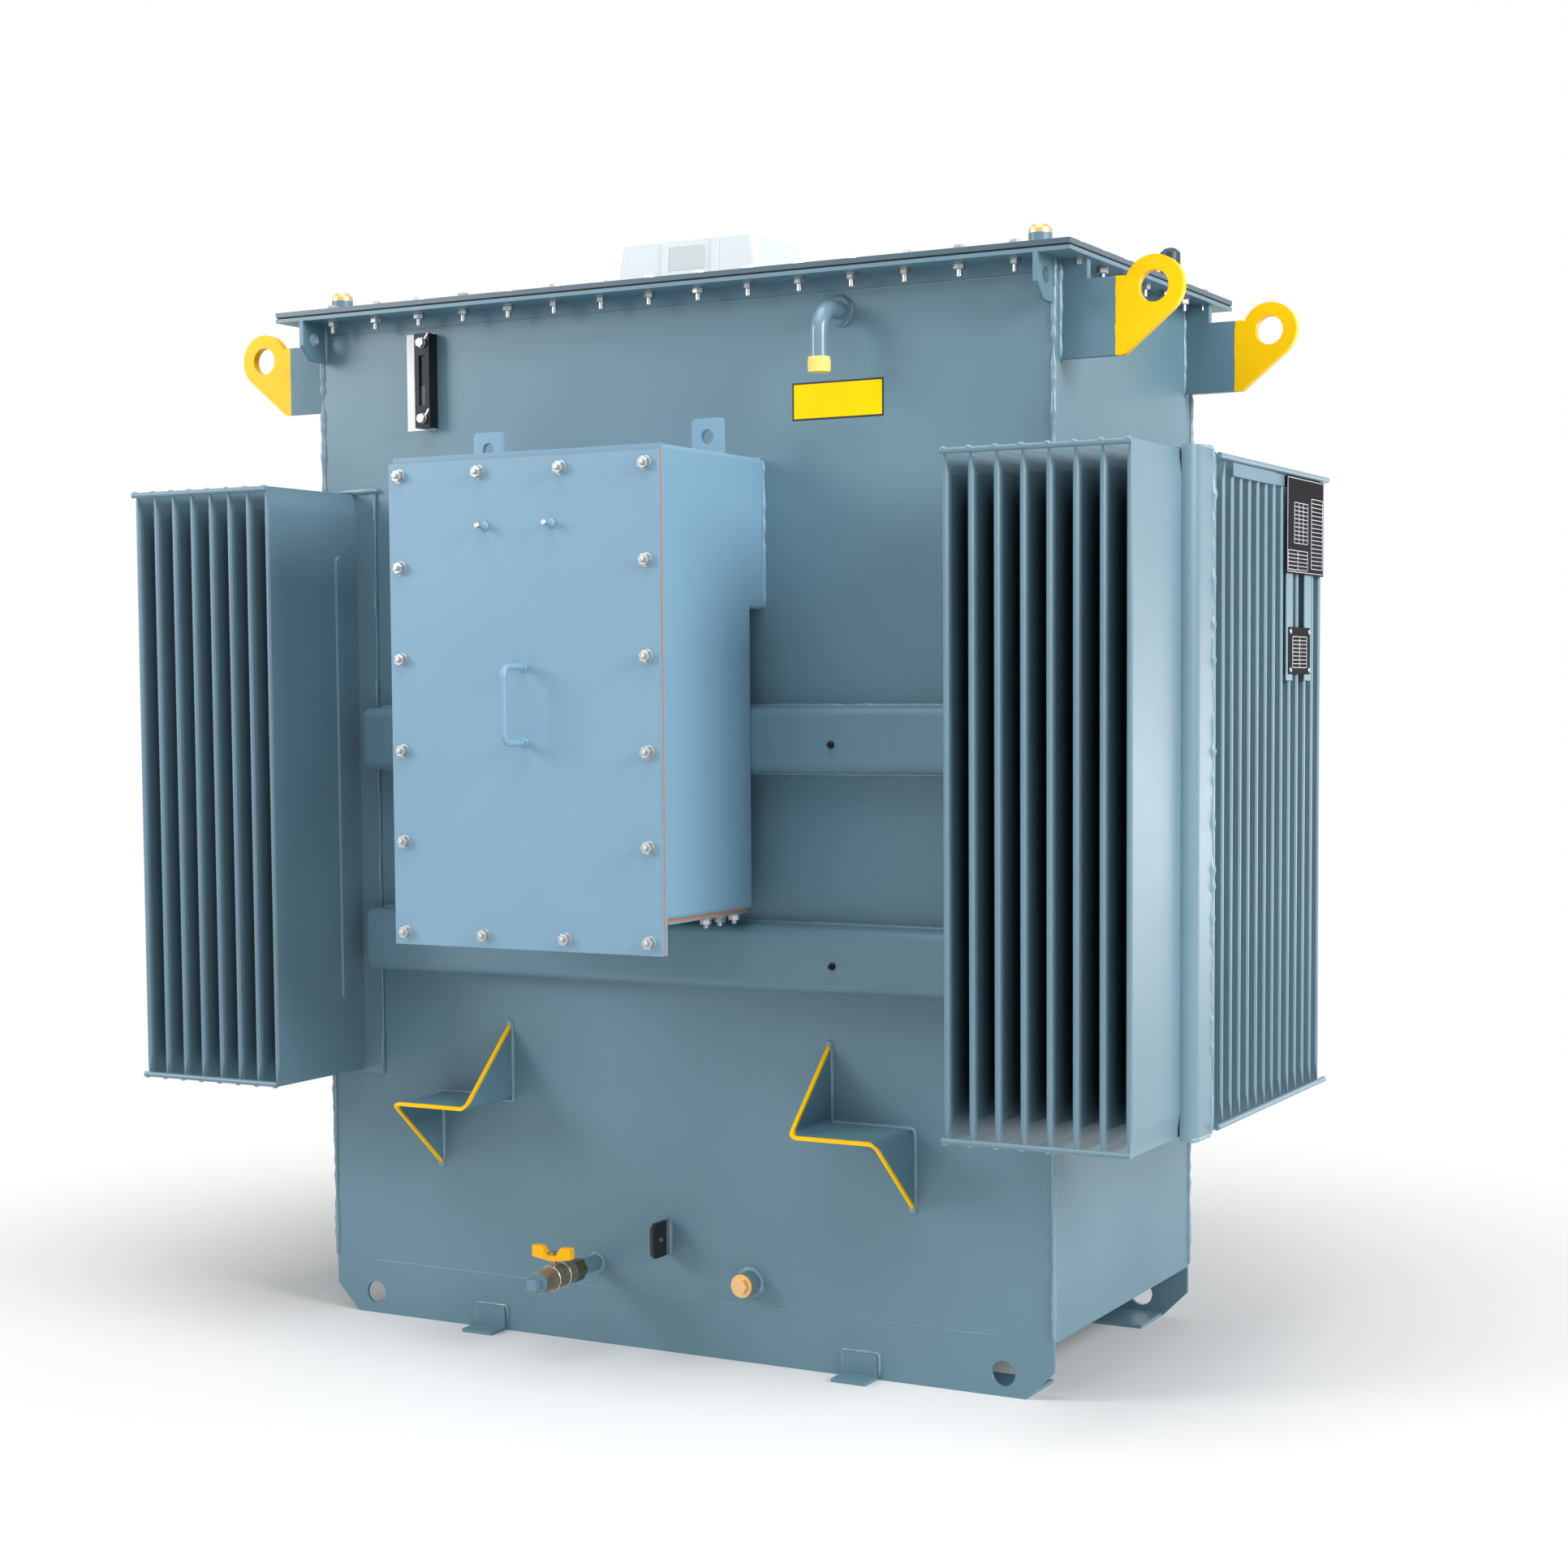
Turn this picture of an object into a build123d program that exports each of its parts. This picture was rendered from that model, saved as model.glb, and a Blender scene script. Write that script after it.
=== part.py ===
from build123d import *
import os

# Three-phase oil-filled transformer, in millimetres.
# The origin is on the ground at the middle of the tank. The front faces -Y and Z is up.

# Tank: folded and welded plate, with a skirt under the front and rear walls
tank_width = 1370
tank_depth = 604
wall = 6
floor_height = 91
skirt_chamfer = 46
tow_hole = 40
tow_hole_from_edge = 84
tow_hole_z = 36
skid_width = 102
skid_thickness = 6

# Top flange, gasket and lid
lid_top = 1746
lid_thickness = 8
gasket_thickness = 3
flange_thickness = 6
front_overhang = 61
side_overhang = 51
gasket_inset = 2

# Horizontal stiffeners, folded channels on the front and rear walls
stiffener_height = 105
stiffener_depth = 45
stiffener_sheet = 5
stiffener_radius = 16
stiffener_centres = (667, 1012)
stiffener_clearance = 2

# Corrugated radiators: flat fins of folded sheet, pinched shut at both ends
fin_height = 1000
fin_base = 433
fin_depth = 240
fin_thickness = 9
fin_pitch = 40
fin_seam = 2.4
seam_height = 10
pinch_height = 26
tip_chamfer = 2.5
front_fins = 8
front_fin_inset = 68
side_fins = 14
side_fin_setback = 37
base_sheet = 6
edge_strip = 38
rear_strip = 19
header_over = 6
header_reach = 45
corner_radius = 22
fin_bead_width = 24
fin_bead_height = 765
fin_bead_depth = 3
fin_bead_taper = 40
fin_bead_from_wall = 56
fin_bead_centre = 943
tip_rod = 9
rod_overrun = 5
rod_rear_overrun = 20

# Cable boxes: one on the front wall and one on the rear wall
box_centre = -57
box_width = 492
box_bottom = 746
box_top = 1457
box_sheet = 4
box_fold = 8
box_stand_off = 47
box_front = 310
throat_bottom = 1219
box_frame = 5
box_lip = 52
frame_width = 42
cork = 4
cover_thickness = 8
cover_top_gap = 10
gland_inset = 6
gland_sheet = 3
handle_x = 2
handle_span = 116
handle_reach = 53
handle_rod = 10
handle_bend = 16
tab_width = 56
tab_height = 56
tab_thickness = 8
tab_hole = 22
tab_hole_height = 27
tab_spread = 413
tab_from_wall = 103
tab_corner = 5

# Lifting lugs on the side walls
lug_y = 272
lug_thickness = 14
lug_reach = 148
eye_height = 1679
eye_radius = 46
eye_hole = 47
lug_bottom = 1582
lug_toe = 98
lug_toe_radius = 10
lug_shoulder = 44
lug_top = 1698

# Tie-down plates under the flange at the four corners
tie_thickness = 8
tie_height = 66
tie_chamfer = 24
tie_hole = 24
tie_hole_drop = 29

# Step brackets: one strip bent to a Z and cut to a point at the front
step_inner = 309
step_outer = 455
step_reach = 135
step_sheet = 6
step_bend = 12
step_top = 530
step_tread = 401
step_bottom = 277
right_step_shift = 7

# Foot cleats at the bottom of the skirts
cleat_x = 355
cleat_width = 60
cleat_height = 41
cleat_foot = 46
cleat_thickness = 6

# Oil level gauge
gauge_x = -455
gauge_z = 1617
gauge_width = 30
gauge_height = 158
gauge_depth = 24
gauge_window_width = 12
gauge_window_height = 84
gauge_window_depth = 6

# Breather: a pipe bent down, with a cap on its mouth
breather_x = 328
breather_z = 1677
breather_pipe = 27
breather_bend = 44
breather_reach = 71
breather_drop = 78
breather_cap = 34
breather_cap_height = 23
breather_collar = 42
breather_collar_length = 8

# Threaded bosses and their hexagon plugs
neck_from_end = 30
neck_from_front = 21
neck_diameter = 36
neck_height = 24
neck_plug_height = 13
side_boss_x = 155
side_boss_z = 132
side_boss_diameter = 40
side_boss_length = 24
side_plug_diameter = 38
side_plug_flange = 7
side_plug_hex = 22
side_plug_head = 6

# Pressure relief valve at the rear right corner of the lid
relief_diameter = 34
relief_height = 84
relief_stem = 24
relief_shoulder = 8
relief_crown = 3

# Relay box on the lid
relay_x = -35
relay_front = -160
relay_width = 282
relay_depth = 180
relay_height = 100
relay_draft = 8
relay_end_draft = 16
relay_round = 9
relay_top_edge = 6
relay_rib = 13
relay_rib_proud = 2.5
relay_rib_places = (-41, 55)
relay_gland = 20
relay_gland_length = 14
relay_gland_inset = 40
relay_gland_height = 33

# Drain valve: pipe stub, ball valve, butterfly handle and square-headed plug
drain_x = -141
drain_z = 136
stub_diameter = 27
stub_length = 55
valve_nut_af = 34
valve_nut_length = 28
valve_body = 38
valve_ring = 42
valve_neck = 34
valve_ring_length = 4
valve_inner_length = 26
valve_barrel_length = 28
valve_neck_length = 12
valve_outer_length = 15
stem_diameter = 12
stem_from_nut = 47
stem_height = 9.5
stem_gap = 0.3
stud_diameter = 6
stud_play = 0.25
stem_nut = 10
stem_nut_height = 5
wing_span = 74
wing_width = 12
wing_height = 23
hub_height = 9
hub_diameter = 18
drain_plug_diameter = 33
drain_plug_rim = 10
drain_plug_square = 18
drain_plug_head = 13

# Earthing plate on the front wall
earth_x = 0
earth_z = 193
earth_reach = 53
earth_height = 58
earth_thickness = 6
earth_chamfer = 9
earth_hole = 13

# Places worked out from the sizes above
half_width = tank_width / 2
half_depth = tank_depth / 2
flange_under = lid_top - lid_thickness - gasket_thickness - flange_thickness
fin_top = fin_base + fin_height
front_fin_first = half_width - front_fin_inset
side_fin_first = side_fin_setback - half_depth
neck_x = half_width - neck_from_end
neck_y = half_depth - neck_from_front
header_bottom = fin_base - header_over
header_height = fin_height + 2 * header_over
front_fin_last = front_fin_first + (front_fins - 1) * fin_pitch
corner_inner = front_fin_last + fin_thickness / 2
header_rear = side_fin_first - fin_thickness / 2
strip_edge = front_fin_first - fin_thickness / 2 - edge_strip
side_base = half_width + base_sheet
side_tip = half_width + fin_depth


def span(x0, x1, y0, y1, z0, z1):
    """A square block between two values on each axis."""
    block = Box(x1 - x0, y1 - y0, z1 - z0)
    return Pos((x0 + x1) / 2, (y0 + y1) / 2, (z0 + z1) / 2) * block


def left_of(solid):
    """The same piece on the other side of the middle plane X = 0."""
    return mirror(solid, about=Plane.YZ)


def behind(solid):
    """The same piece on the rear of the tank, mirrored in Y = 0."""
    return mirror(solid, about=Plane.XZ)


def bore_x(diameter, y, z):
    """A long round bar along X, for cutting a hole through a plate."""
    return Pos(0, y, z) * Rot(0, 90, 0) * Cylinder(diameter / 2, 4 * tank_width)


def bar_y(diameter, x, z, y0, y1):
    """A round bar along Y between two values."""
    return Pos(x, (y0 + y1) / 2, z) * Rot(90, 0, 0) * Cylinder(diameter / 2, abs(y1 - y0))


def hexagon_y(across_flats, x, z, y0, y1):
    """A hexagonal bar along Y between two values."""
    section = RegularPolygon(across_flats / 2, 6, major_radius=False)
    return Pos(x, max(y0, y1), z) * Rot(90, 0, 0) * extrude(section, abs(y1 - y0))


def upright(diameter, x, y, z0, z1):
    """A round bar along Z between two values."""
    return Pos(x, y, (z0 + z1) / 2) * Cylinder(diameter / 2, z1 - z0)


def frame_plate(outer_x, outer_y, inner_x, inner_y, z0, z1):
    """A flat rectangular frame, given by its half widths outside and inside."""
    plate = span(-outer_x, outer_x, -outer_y, outer_y, z0, z1)
    return plate - span(-inner_x, inner_x, -inner_y, inner_y, z0, z1)


# Tank walls
def skirted_wall():
    """The front wall: its lower corners are cut off and carry a towing hole each."""
    outline = Polyline(
        (-half_width, skirt_chamfer),
        (-half_width + skirt_chamfer, 0),
        (half_width - skirt_chamfer, 0),
        (half_width, skirt_chamfer),
        (half_width, flange_under),
        (-half_width, flange_under),
        close=True,
    )
    plate = extrude(Plane.XZ * make_face(outline), wall)
    plate = Pos(0, -half_depth + wall, 0) * plate
    for side in (-1, 1):
        plate -= bar_y(tow_hole, side * (half_width - tow_hole_from_edge), tow_hole_z, -tank_depth, 0)
    return plate


front_wall = skirted_wall()
right_wall = span(
    half_width - wall, half_width, -half_depth + wall, half_depth - wall, floor_height, flange_under
)
tank_floor = span(
    -half_width + wall, half_width - wall, -half_depth + wall, half_depth - wall,
    floor_height, floor_height + wall
)
front_skid = span(
    -half_width + skirt_chamfer, half_width - skirt_chamfer,
    -half_depth + wall, -half_depth + wall + skid_width, 0, skid_thickness
)

# Top flange, gasket and lid
flange_x = half_width + side_overhang
flange_y = half_depth + front_overhang
gasket_bottom = flange_under + flange_thickness
lid_bottom = gasket_bottom + gasket_thickness
top_flange = frame_plate(
    flange_x, flange_y, half_width - wall, half_depth - wall, flange_under, gasket_bottom
)
lid_gasket = frame_plate(
    flange_x - gasket_inset, flange_y - gasket_inset, half_width - wall, half_depth - wall,
    gasket_bottom, lid_bottom
)
lid = span(-flange_x, flange_x, -flange_y, flange_y, lid_bottom, lid_top)


# Stiffeners
def stiffener(centre):
    """A channel with round outer corners, its open side against the wall."""
    low = centre - stiffener_height / 2
    high = centre + stiffener_height / 2
    length = 2 * (strip_edge - stiffener_clearance)
    front = -half_depth - stiffener_depth
    outer = span(-length / 2, length / 2, front, -half_depth, low, high)
    corners = outer.edges().filter_by(Axis.X).group_by(Axis.Y)[0]
    outer = fillet(corners, stiffener_radius)
    inner = span(
        -length, length, front + stiffener_sheet, 0, low + stiffener_sheet, high - stiffener_sheet
    )
    inner_corners = inner.edges().filter_by(Axis.X).group_by(Axis.Y)[0]
    return outer - fillet(inner_corners, stiffener_radius - stiffener_sheet)


front_stiffeners = [stiffener(centre) for centre in stiffener_centres]


# Radiators
def fin():
    """One upright fin that reaches along -Y from the origin, pinched to a seam at both ends."""
    half = fin_thickness / 2
    seam = fin_seam / 2
    low = seam_height
    full = seam_height + pinch_height
    ends = Polyline(
        (-seam, 0), (seam, 0), (seam, low), (half, full),
        (half, fin_height - full), (seam, fin_height - low),
        (seam, fin_height), (-seam, fin_height), (-seam, fin_height - low),
        (-half, fin_height - full), (-half, full), (-seam, low),
        close=True,
    )
    length = fin_depth - base_sheet
    pinched = extrude(Plane.XZ * make_face(ends), length)
    plan = Polyline(
        (-half, 0), (half, 0), (half, -length + tip_chamfer), (half - tip_chamfer, -length),
        (tip_chamfer - half, -length), (-half, -length + tip_chamfer),
        close=True,
    )
    return pinched & extrude(make_face(plan), fin_height)


def fin_bead():
    """The long pressed bead on the tank side of the innermost fin, with round ends and sloped flanks."""
    outline = SlotOverall(fin_bead_height, fin_bead_width, rotation=90)
    place = Plane(
        origin=(front_fin_first - fin_thickness / 2, -half_depth - fin_bead_from_wall, fin_bead_centre),
        x_dir=(0, -1, 0), z_dir=(-1, 0, 0)
    )
    return extrude(place * outline, fin_bead_depth, taper=fin_bead_taper)


one_fin = fin()
right_front_fins = [
    Pos(front_fin_first + i * fin_pitch, -half_depth - base_sheet, fin_base) * one_fin
    for i in range(front_fins)
]
right_front_fins[0] += fin_bead()
right_side_fins = [
    Pos(side_base, side_fin_first + i * fin_pitch, fin_base) * Rot(0, 0, 90) * one_fin
    for i in range(side_fins)
]


def radiator_header():
    """The oil chamber at the front corner: a base sheet, then a corner post with a round edge."""
    post_front = -half_depth - header_reach
    post_side = corner_inner + corner_radius
    outline = [
        Line((strip_edge, -half_depth), (strip_edge, -half_depth - base_sheet)),
        Line((strip_edge, -half_depth - base_sheet), (corner_inner, -half_depth - base_sheet)),
        Line((corner_inner, -half_depth - base_sheet), (corner_inner, post_front)),
        RadiusArc((corner_inner, post_front), (post_side, post_front + corner_radius), -corner_radius),
        Line((post_side, post_front + corner_radius), (post_side, header_rear)),
        Line((post_side, header_rear), (half_width, header_rear)),
        Line((half_width, header_rear), (half_width, -half_depth)),
        Line((half_width, -half_depth), (strip_edge, -half_depth)),
    ]
    return Pos(0, 0, header_bottom) * extrude(make_face(outline), header_height)


side_fin_last = side_fin_first + (side_fins - 1) * fin_pitch
right_header = radiator_header()
right_side_sheet = span(
    half_width, side_base, header_rear, side_fin_last + fin_thickness / 2 + rear_strip,
    header_bottom, header_bottom + header_height
)


def tip_rods():
    """Four rods that hold the fin tips: two across the front fins, two along the side fins."""
    rods = []
    front_y = -half_depth - fin_depth - tip_rod / 2
    side_x = side_tip + tip_rod / 2
    front_length = (front_fins - 1) * fin_pitch + 2 * rod_overrun
    front_middle = (front_fin_first + front_fin_last) / 2
    side_start = header_rear + rod_overrun
    side_end = side_fin_last + rod_rear_overrun
    for z in (fin_base + tip_rod / 2, fin_top - tip_rod / 2):
        across = Rot(0, 90, 0) * Cylinder(tip_rod / 2, front_length)
        rods.append(Pos(front_middle, front_y, z) * across)
        rods.append(bar_y(tip_rod, side_x, z, side_start, side_end))
    return rods


right_rods = tip_rods()

# Cable box
box_left = box_centre - box_width / 2
box_right = box_centre + box_width / 2
box_back = -half_depth - box_stand_off
box_face = -half_depth - box_front
cover_bottom = box_bottom - box_lip
cover_top = box_top - cover_top_gap


def folded(block):
    """A block with the four long edges that run along Y rounded, as folded sheet is."""
    return fillet(block.edges().filter_by(Axis.Y), box_fold)


def cable_box():
    """A sheet box with a frame round its front, and a throat at the top that meets the tank."""
    outer = folded(span(box_left, box_right, box_face, box_back, box_bottom, box_top))
    outer += folded(span(box_left, box_right, box_back - box_fold, -half_depth, throat_bottom, box_top))
    outer += span(box_left, box_right, box_face, box_face + box_frame, cover_bottom, box_top)
    inner = span(
        box_left + box_sheet, box_right - box_sheet, box_face + box_frame, box_back - box_sheet,
        box_bottom + box_sheet, box_top - box_sheet
    )
    inner += span(
        box_left + box_sheet, box_right - box_sheet, box_back - box_sheet, -half_depth - box_sheet,
        throat_bottom + box_sheet, box_top - box_sheet
    )
    inner += span(
        box_left + frame_width, box_right - frame_width, box_face, box_face + box_frame,
        box_bottom + frame_width, cover_top - frame_width
    )
    body = outer - inner
    for side in (-1, 1):
        body += lifting_tab(box_centre + side * tab_spread / 2)
    return body


def lifting_tab(x):
    """A small plate with a hole, standing on the top of the cable box."""
    y = -half_depth - tab_from_wall
    plate = span(
        x - tab_width / 2, x + tab_width / 2, y - tab_thickness / 2, y + tab_thickness / 2,
        box_top, box_top + tab_height
    )
    top_corners = plate.edges().filter_by(Axis.Y).group_by(Axis.Z)[-1]
    plate = chamfer(top_corners, tab_corner)
    return plate - bar_y(tab_hole, x, box_top + tab_hole_height, y - tab_width, y + tab_width)


def cork_gaskets():
    """Two cork sheets: a ring behind the cover, and one under the floor of the box."""
    ring = span(box_left, box_right, box_face - cork, box_face, cover_bottom, cover_top)
    ring -= span(
        box_left + frame_width, box_right - frame_width, box_face - cork, box_face,
        box_bottom + frame_width, cover_top - frame_width
    )
    sheet = span(
        box_left + gland_inset, box_right - gland_inset, box_face + box_frame + gland_inset,
        box_back - gland_inset, box_bottom - cork, box_bottom
    )
    return [ring, sheet]


def box_handle():
    """A round bar bent to a D, its two feet on the cover."""
    x = box_centre + handle_x
    y = box_face - cork - cover_thickness
    middle = (cover_bottom + cover_top) / 2
    path = FilletPolyline(
        (x, y, middle - handle_span / 2),
        (x, y - handle_reach, middle - handle_span / 2),
        (x, y - handle_reach, middle + handle_span / 2),
        (x, y, middle + handle_span / 2),
        radius=handle_bend,
    )
    return sweep((path ^ 0) * Circle(handle_rod / 2), path)


front_box = cable_box()
front_corks = cork_gaskets()
front_cover = span(
    box_left, box_right, box_face - cork - cover_thickness, box_face - cork, cover_bottom, cover_top
)
front_handle = box_handle()
front_gland = span(
    box_left + gland_inset, box_right - gland_inset, box_face + box_frame + gland_inset,
    box_back - gland_inset, box_bottom - cork - gland_sheet, box_bottom - cork
)


# Lifting lugs
def lifting_lug():
    """A plate welded to the side wall: a root under the flange, a toe, and an eye at its end."""
    eye_x = half_width + lug_reach
    toe_x = half_width + lug_toe
    root_x = half_width + lug_shoulder
    web = make_face(Polyline(
        (half_width, lug_bottom), (toe_x, lug_bottom), (eye_x, eye_height),
        (eye_x - eye_radius, lug_top), (root_x, lug_top), (root_x, flange_under),
        (half_width, flange_under), close=True,
    ))
    toe = Pos(toe_x, lug_bottom + lug_toe_radius) * Circle(lug_toe_radius)
    eye = Pos(eye_x, eye_height) * Circle(eye_radius)
    outer_flank = make_hull((toe.edges() + eye.edges()))
    profile = web + outer_flank - Pos(eye_x, eye_height) * Circle(eye_hole / 2)
    plate = extrude(Plane.XZ * profile, lug_thickness / 2, both=True)
    return Pos(0, -lug_y, 0) * plate


front_right_lug = lifting_lug()


# Tie-down plates
def tie_plate():
    """A plate under the flange in line with the side wall, with a hole and one cut corner."""
    y0 = -half_depth - front_overhang
    z0 = flange_under - tie_height
    outline = Polyline(
        (-half_depth, flange_under), (y0, flange_under), (y0, z0 + tie_chamfer),
        (y0 + tie_chamfer, z0), (-half_depth, z0), close=True,
    )
    plate = extrude(Plane.YZ * make_face(outline), tie_thickness)
    plate = Pos(half_width - tie_thickness, 0, 0) * plate
    hole_y = -half_depth - front_overhang / 2
    return plate - bore_x(tie_hole, hole_y, flange_under - tie_hole_drop)


front_right_tie = tie_plate()


# Step brackets
def step_bracket():
    """A strip bent to a Z, with its front edges cut back to the wall above and below the tread."""
    half = step_sheet / 2
    path = FilletPolyline(
        (step_inner, step_top + step_sheet), (step_inner, step_tread),
        (step_outer, step_tread), (step_outer, step_bottom - step_sheet),
        radius=step_bend,
    )
    section = make_face(path.wire().offset_2d(half, side=Side.BOTH))
    bent = extrude(Plane.XZ * section, step_reach + tank_depth)
    side_cut = make_face(Polyline(
        (-half_depth, step_top), (-half_depth - step_reach, step_tread + half),
        (-half_depth - step_reach, step_tread - half), (-half_depth, step_bottom), close=True,
    ))
    return bent & extrude(Plane.YZ * side_cut, tank_width)


step = step_bracket()


# Foot cleats
def foot_cleat(x):
    """An angle with one leg on the skirt and one leg on the ground."""
    y = -half_depth
    leg = span(x - cleat_width / 2, x + cleat_width / 2, y - cleat_thickness, y, 0, cleat_height)
    foot = span(x - cleat_width / 2, x + cleat_width / 2, y - cleat_foot, y, 0, cleat_thickness)
    return leg + foot


front_cleats = [foot_cleat(-cleat_x), foot_cleat(cleat_x)]

# Oil level gauge
gauge = span(
    gauge_x - gauge_width / 2, gauge_x + gauge_width / 2, -half_depth - gauge_depth, -half_depth,
    gauge_z - gauge_height / 2, gauge_z + gauge_height / 2
)
gauge -= span(
    gauge_x - gauge_window_width / 2, gauge_x + gauge_window_width / 2,
    -half_depth - gauge_depth, -half_depth - gauge_depth + gauge_window_depth,
    gauge_z - gauge_window_height / 2, gauge_z + gauge_window_height / 2
)


# Breather
def breather():
    """A pipe that leaves the wall and bends down to the cap, with a collar at the wall."""
    y = -half_depth - breather_reach
    path = FilletPolyline(
        (breather_x, -half_depth, breather_z), (breather_x, y, breather_z),
        (breather_x, y, breather_z - breather_drop), radius=breather_bend,
    )
    pipe = sweep((path ^ 0) * Circle(breather_pipe / 2), path)
    collar = bar_y(
        breather_collar, breather_x, breather_z, -half_depth, -half_depth - breather_collar_length
    )
    return pipe + collar


breather_pipe_piece = breather()
cap_top = breather_z - breather_drop
breather_cap_piece = upright(
    breather_cap, breather_x, -half_depth - breather_reach, cap_top - breather_cap_height, cap_top
)


# Bosses and plugs
def neck(side):
    """A threaded boss on the lid."""
    return upright(neck_diameter, side * neck_x, -neck_y, lid_top, lid_top + neck_height)


def neck_plug(side):
    """A round plug with a wide chamfer round its top."""
    z = lid_top + neck_height
    disc = upright(neck_diameter, side * neck_x, -neck_y, z, z + neck_plug_height)
    return chamfer(disc.edges().group_by(Axis.Z)[-1], neck_plug_height / 2)


threaded_bosses = [neck(-1), neck(1)]
boss_end = -half_depth - side_boss_length
threaded_bosses.append(
    bar_y(side_boss_diameter, side_boss_x, side_boss_z, -half_depth, boss_end)
)
side_plug = bar_y(side_plug_diameter, side_boss_x, side_boss_z, boss_end, boss_end - side_plug_flange)
side_plug += hexagon_y(
    side_plug_hex, side_boss_x, side_boss_z, boss_end - side_plug_flange,
    boss_end - side_plug_flange - side_plug_head
)
brass_plugs = [neck_plug(-1), neck_plug(1), side_plug]

# Pressure relief valve
relief_valve = upright(relief_stem, neck_x, neck_y, lid_top, lid_top + relief_height / 2)
relief_cap = upright(
    relief_diameter, neck_x, neck_y, lid_top + relief_height / 2, lid_top + relief_height
)
relief_cap = chamfer(relief_cap.edges().group_by(Axis.Z)[-1], relief_shoulder)
relief_valve += chamfer(relief_cap.edges().group_by(Axis.Z)[-1], relief_crown)


# Relay box
def relay_rib_at(x, middle_y):
    """An upright rib that stands just proud of the case at its front and back."""
    foot = Rectangle(relay_rib, relay_depth + 2 * relay_rib_proud)
    head = Rectangle(relay_rib, relay_depth - 2 * relay_draft + 2 * relay_rib_proud)
    rib_top = lid_top + relay_height - relay_top_edge
    return loft([Pos(x, middle_y, lid_top) * foot, Pos(x, middle_y, rib_top) * head])


def relay_box():
    """A moulded case that narrows upwards, with a cable gland in its left end."""
    middle_y = relay_front + relay_depth / 2
    base = Rectangle(relay_width, relay_depth)
    top = Rectangle(relay_width - 2 * relay_end_draft, relay_depth - 2 * relay_draft)
    foot = Pos(relay_x, middle_y, lid_top) * base
    roof = Pos(relay_x, middle_y, lid_top + relay_height) * top
    case = loft([foot, roof])
    uprights = case.edges().group_by(Axis.Z)[1]
    case = fillet(uprights, relay_round)
    case = chamfer(case.faces().sort_by(Axis.Z)[-1].edges(), relay_top_edge)
    for place in relay_rib_places:
        case += relay_rib_at(relay_x + place, middle_y)
    left = relay_x - relay_width / 2
    gland = Rot(0, 90, 0) * Cylinder(relay_gland / 2, 2 * relay_gland_length)
    return case + Pos(left, relay_front + relay_gland_inset, lid_top + relay_gland_height) * gland


relay = relay_box()

# Drain valve
stub_end = -half_depth - stub_length
nut_end = stub_end - valve_nut_length
valve_steps = [
    (valve_body, valve_inner_length), (valve_ring, valve_ring_length),
    (valve_body, valve_barrel_length), (valve_ring, valve_ring_length),
    (valve_neck, valve_neck_length), (valve_body, valve_outer_length),
]
body_end = nut_end - sum(length for diameter, length in valve_steps)
stem_y = nut_end - stem_from_nut
stem_top = drain_z + valve_body / 2 + stem_height
drain_stub = bar_y(stub_diameter, drain_x, drain_z, -half_depth, stub_end)
valve = hexagon_y(valve_nut_af, drain_x, drain_z, stub_end, nut_end)
step_start = nut_end
for diameter, length in valve_steps:
    valve += bar_y(diameter, drain_x, drain_z, step_start, step_start - length)
    step_start -= length
valve += upright(stem_diameter, drain_x, stem_y, drain_z, stem_top)
nut_low = stem_top + stem_gap + hub_height + stem_gap
valve += upright(stud_diameter, drain_x, stem_y, stem_top, nut_low + stem_nut_height)
stem_nut_section = RegularPolygon(stem_nut / 2, 6, major_radius=False)
valve += Pos(drain_x, stem_y, nut_low) * extrude(stem_nut_section, stem_nut_height)
drain_plug = bar_y(drain_plug_diameter, drain_x, drain_z, body_end, body_end - drain_plug_rim)
drain_plug += span(
    drain_x - drain_plug_square / 2, drain_x + drain_plug_square / 2,
    body_end - drain_plug_rim - drain_plug_head, body_end - drain_plug_rim,
    drain_z - drain_plug_square / 2, drain_z + drain_plug_square / 2
)


def butterfly_handle():
    """A hub on the valve stem with two wings, spread across the pipe when the valve is shut."""
    low = stem_top + stem_gap
    hub = upright(hub_diameter, drain_x, stem_y, low, low + hub_height)
    outline = Polyline(
        (-wing_span / 2, hub_height / 2), (-hub_diameter / 2, 0), (hub_diameter / 2, 0),
        (wing_span / 2, hub_height / 2), (wing_span / 2, wing_height),
        (wing_span / 4, wing_height), (hub_diameter / 2, hub_height),
        (-hub_diameter / 2, hub_height), (-wing_span / 4, wing_height),
        (-wing_span / 2, wing_height), close=True,
    )
    wings = extrude(Plane.XZ * make_face(outline), wing_width / 2, both=True)
    bore = stud_diameter + 2 * stud_play
    stud_hole = upright(bore, drain_x, stem_y, low - hub_height, low + 2 * hub_height)
    return hub + Pos(drain_x, stem_y, low) * wings - stud_hole


drain_handle = butterfly_handle()


# Earthing plate
def earth_plate():
    """A plate that stands out from the wall, with cut corners and a bolt hole."""
    y0 = -half_depth - earth_reach
    low = earth_z - earth_height / 2
    high = earth_z + earth_height / 2
    outline = Polyline(
        (-half_depth, low), (y0 + earth_chamfer, low), (y0, low + earth_chamfer),
        (y0, high - earth_chamfer), (y0 + earth_chamfer, high), (-half_depth, high), close=True,
    )
    plate = extrude(Plane.YZ * make_face(outline), earth_thickness / 2, both=True)
    plate -= bore_x(earth_hole, -half_depth - earth_reach / 2, earth_z)
    return Pos(earth_x, 0, 0) * plate


earthing_plate = earth_plate()

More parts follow.
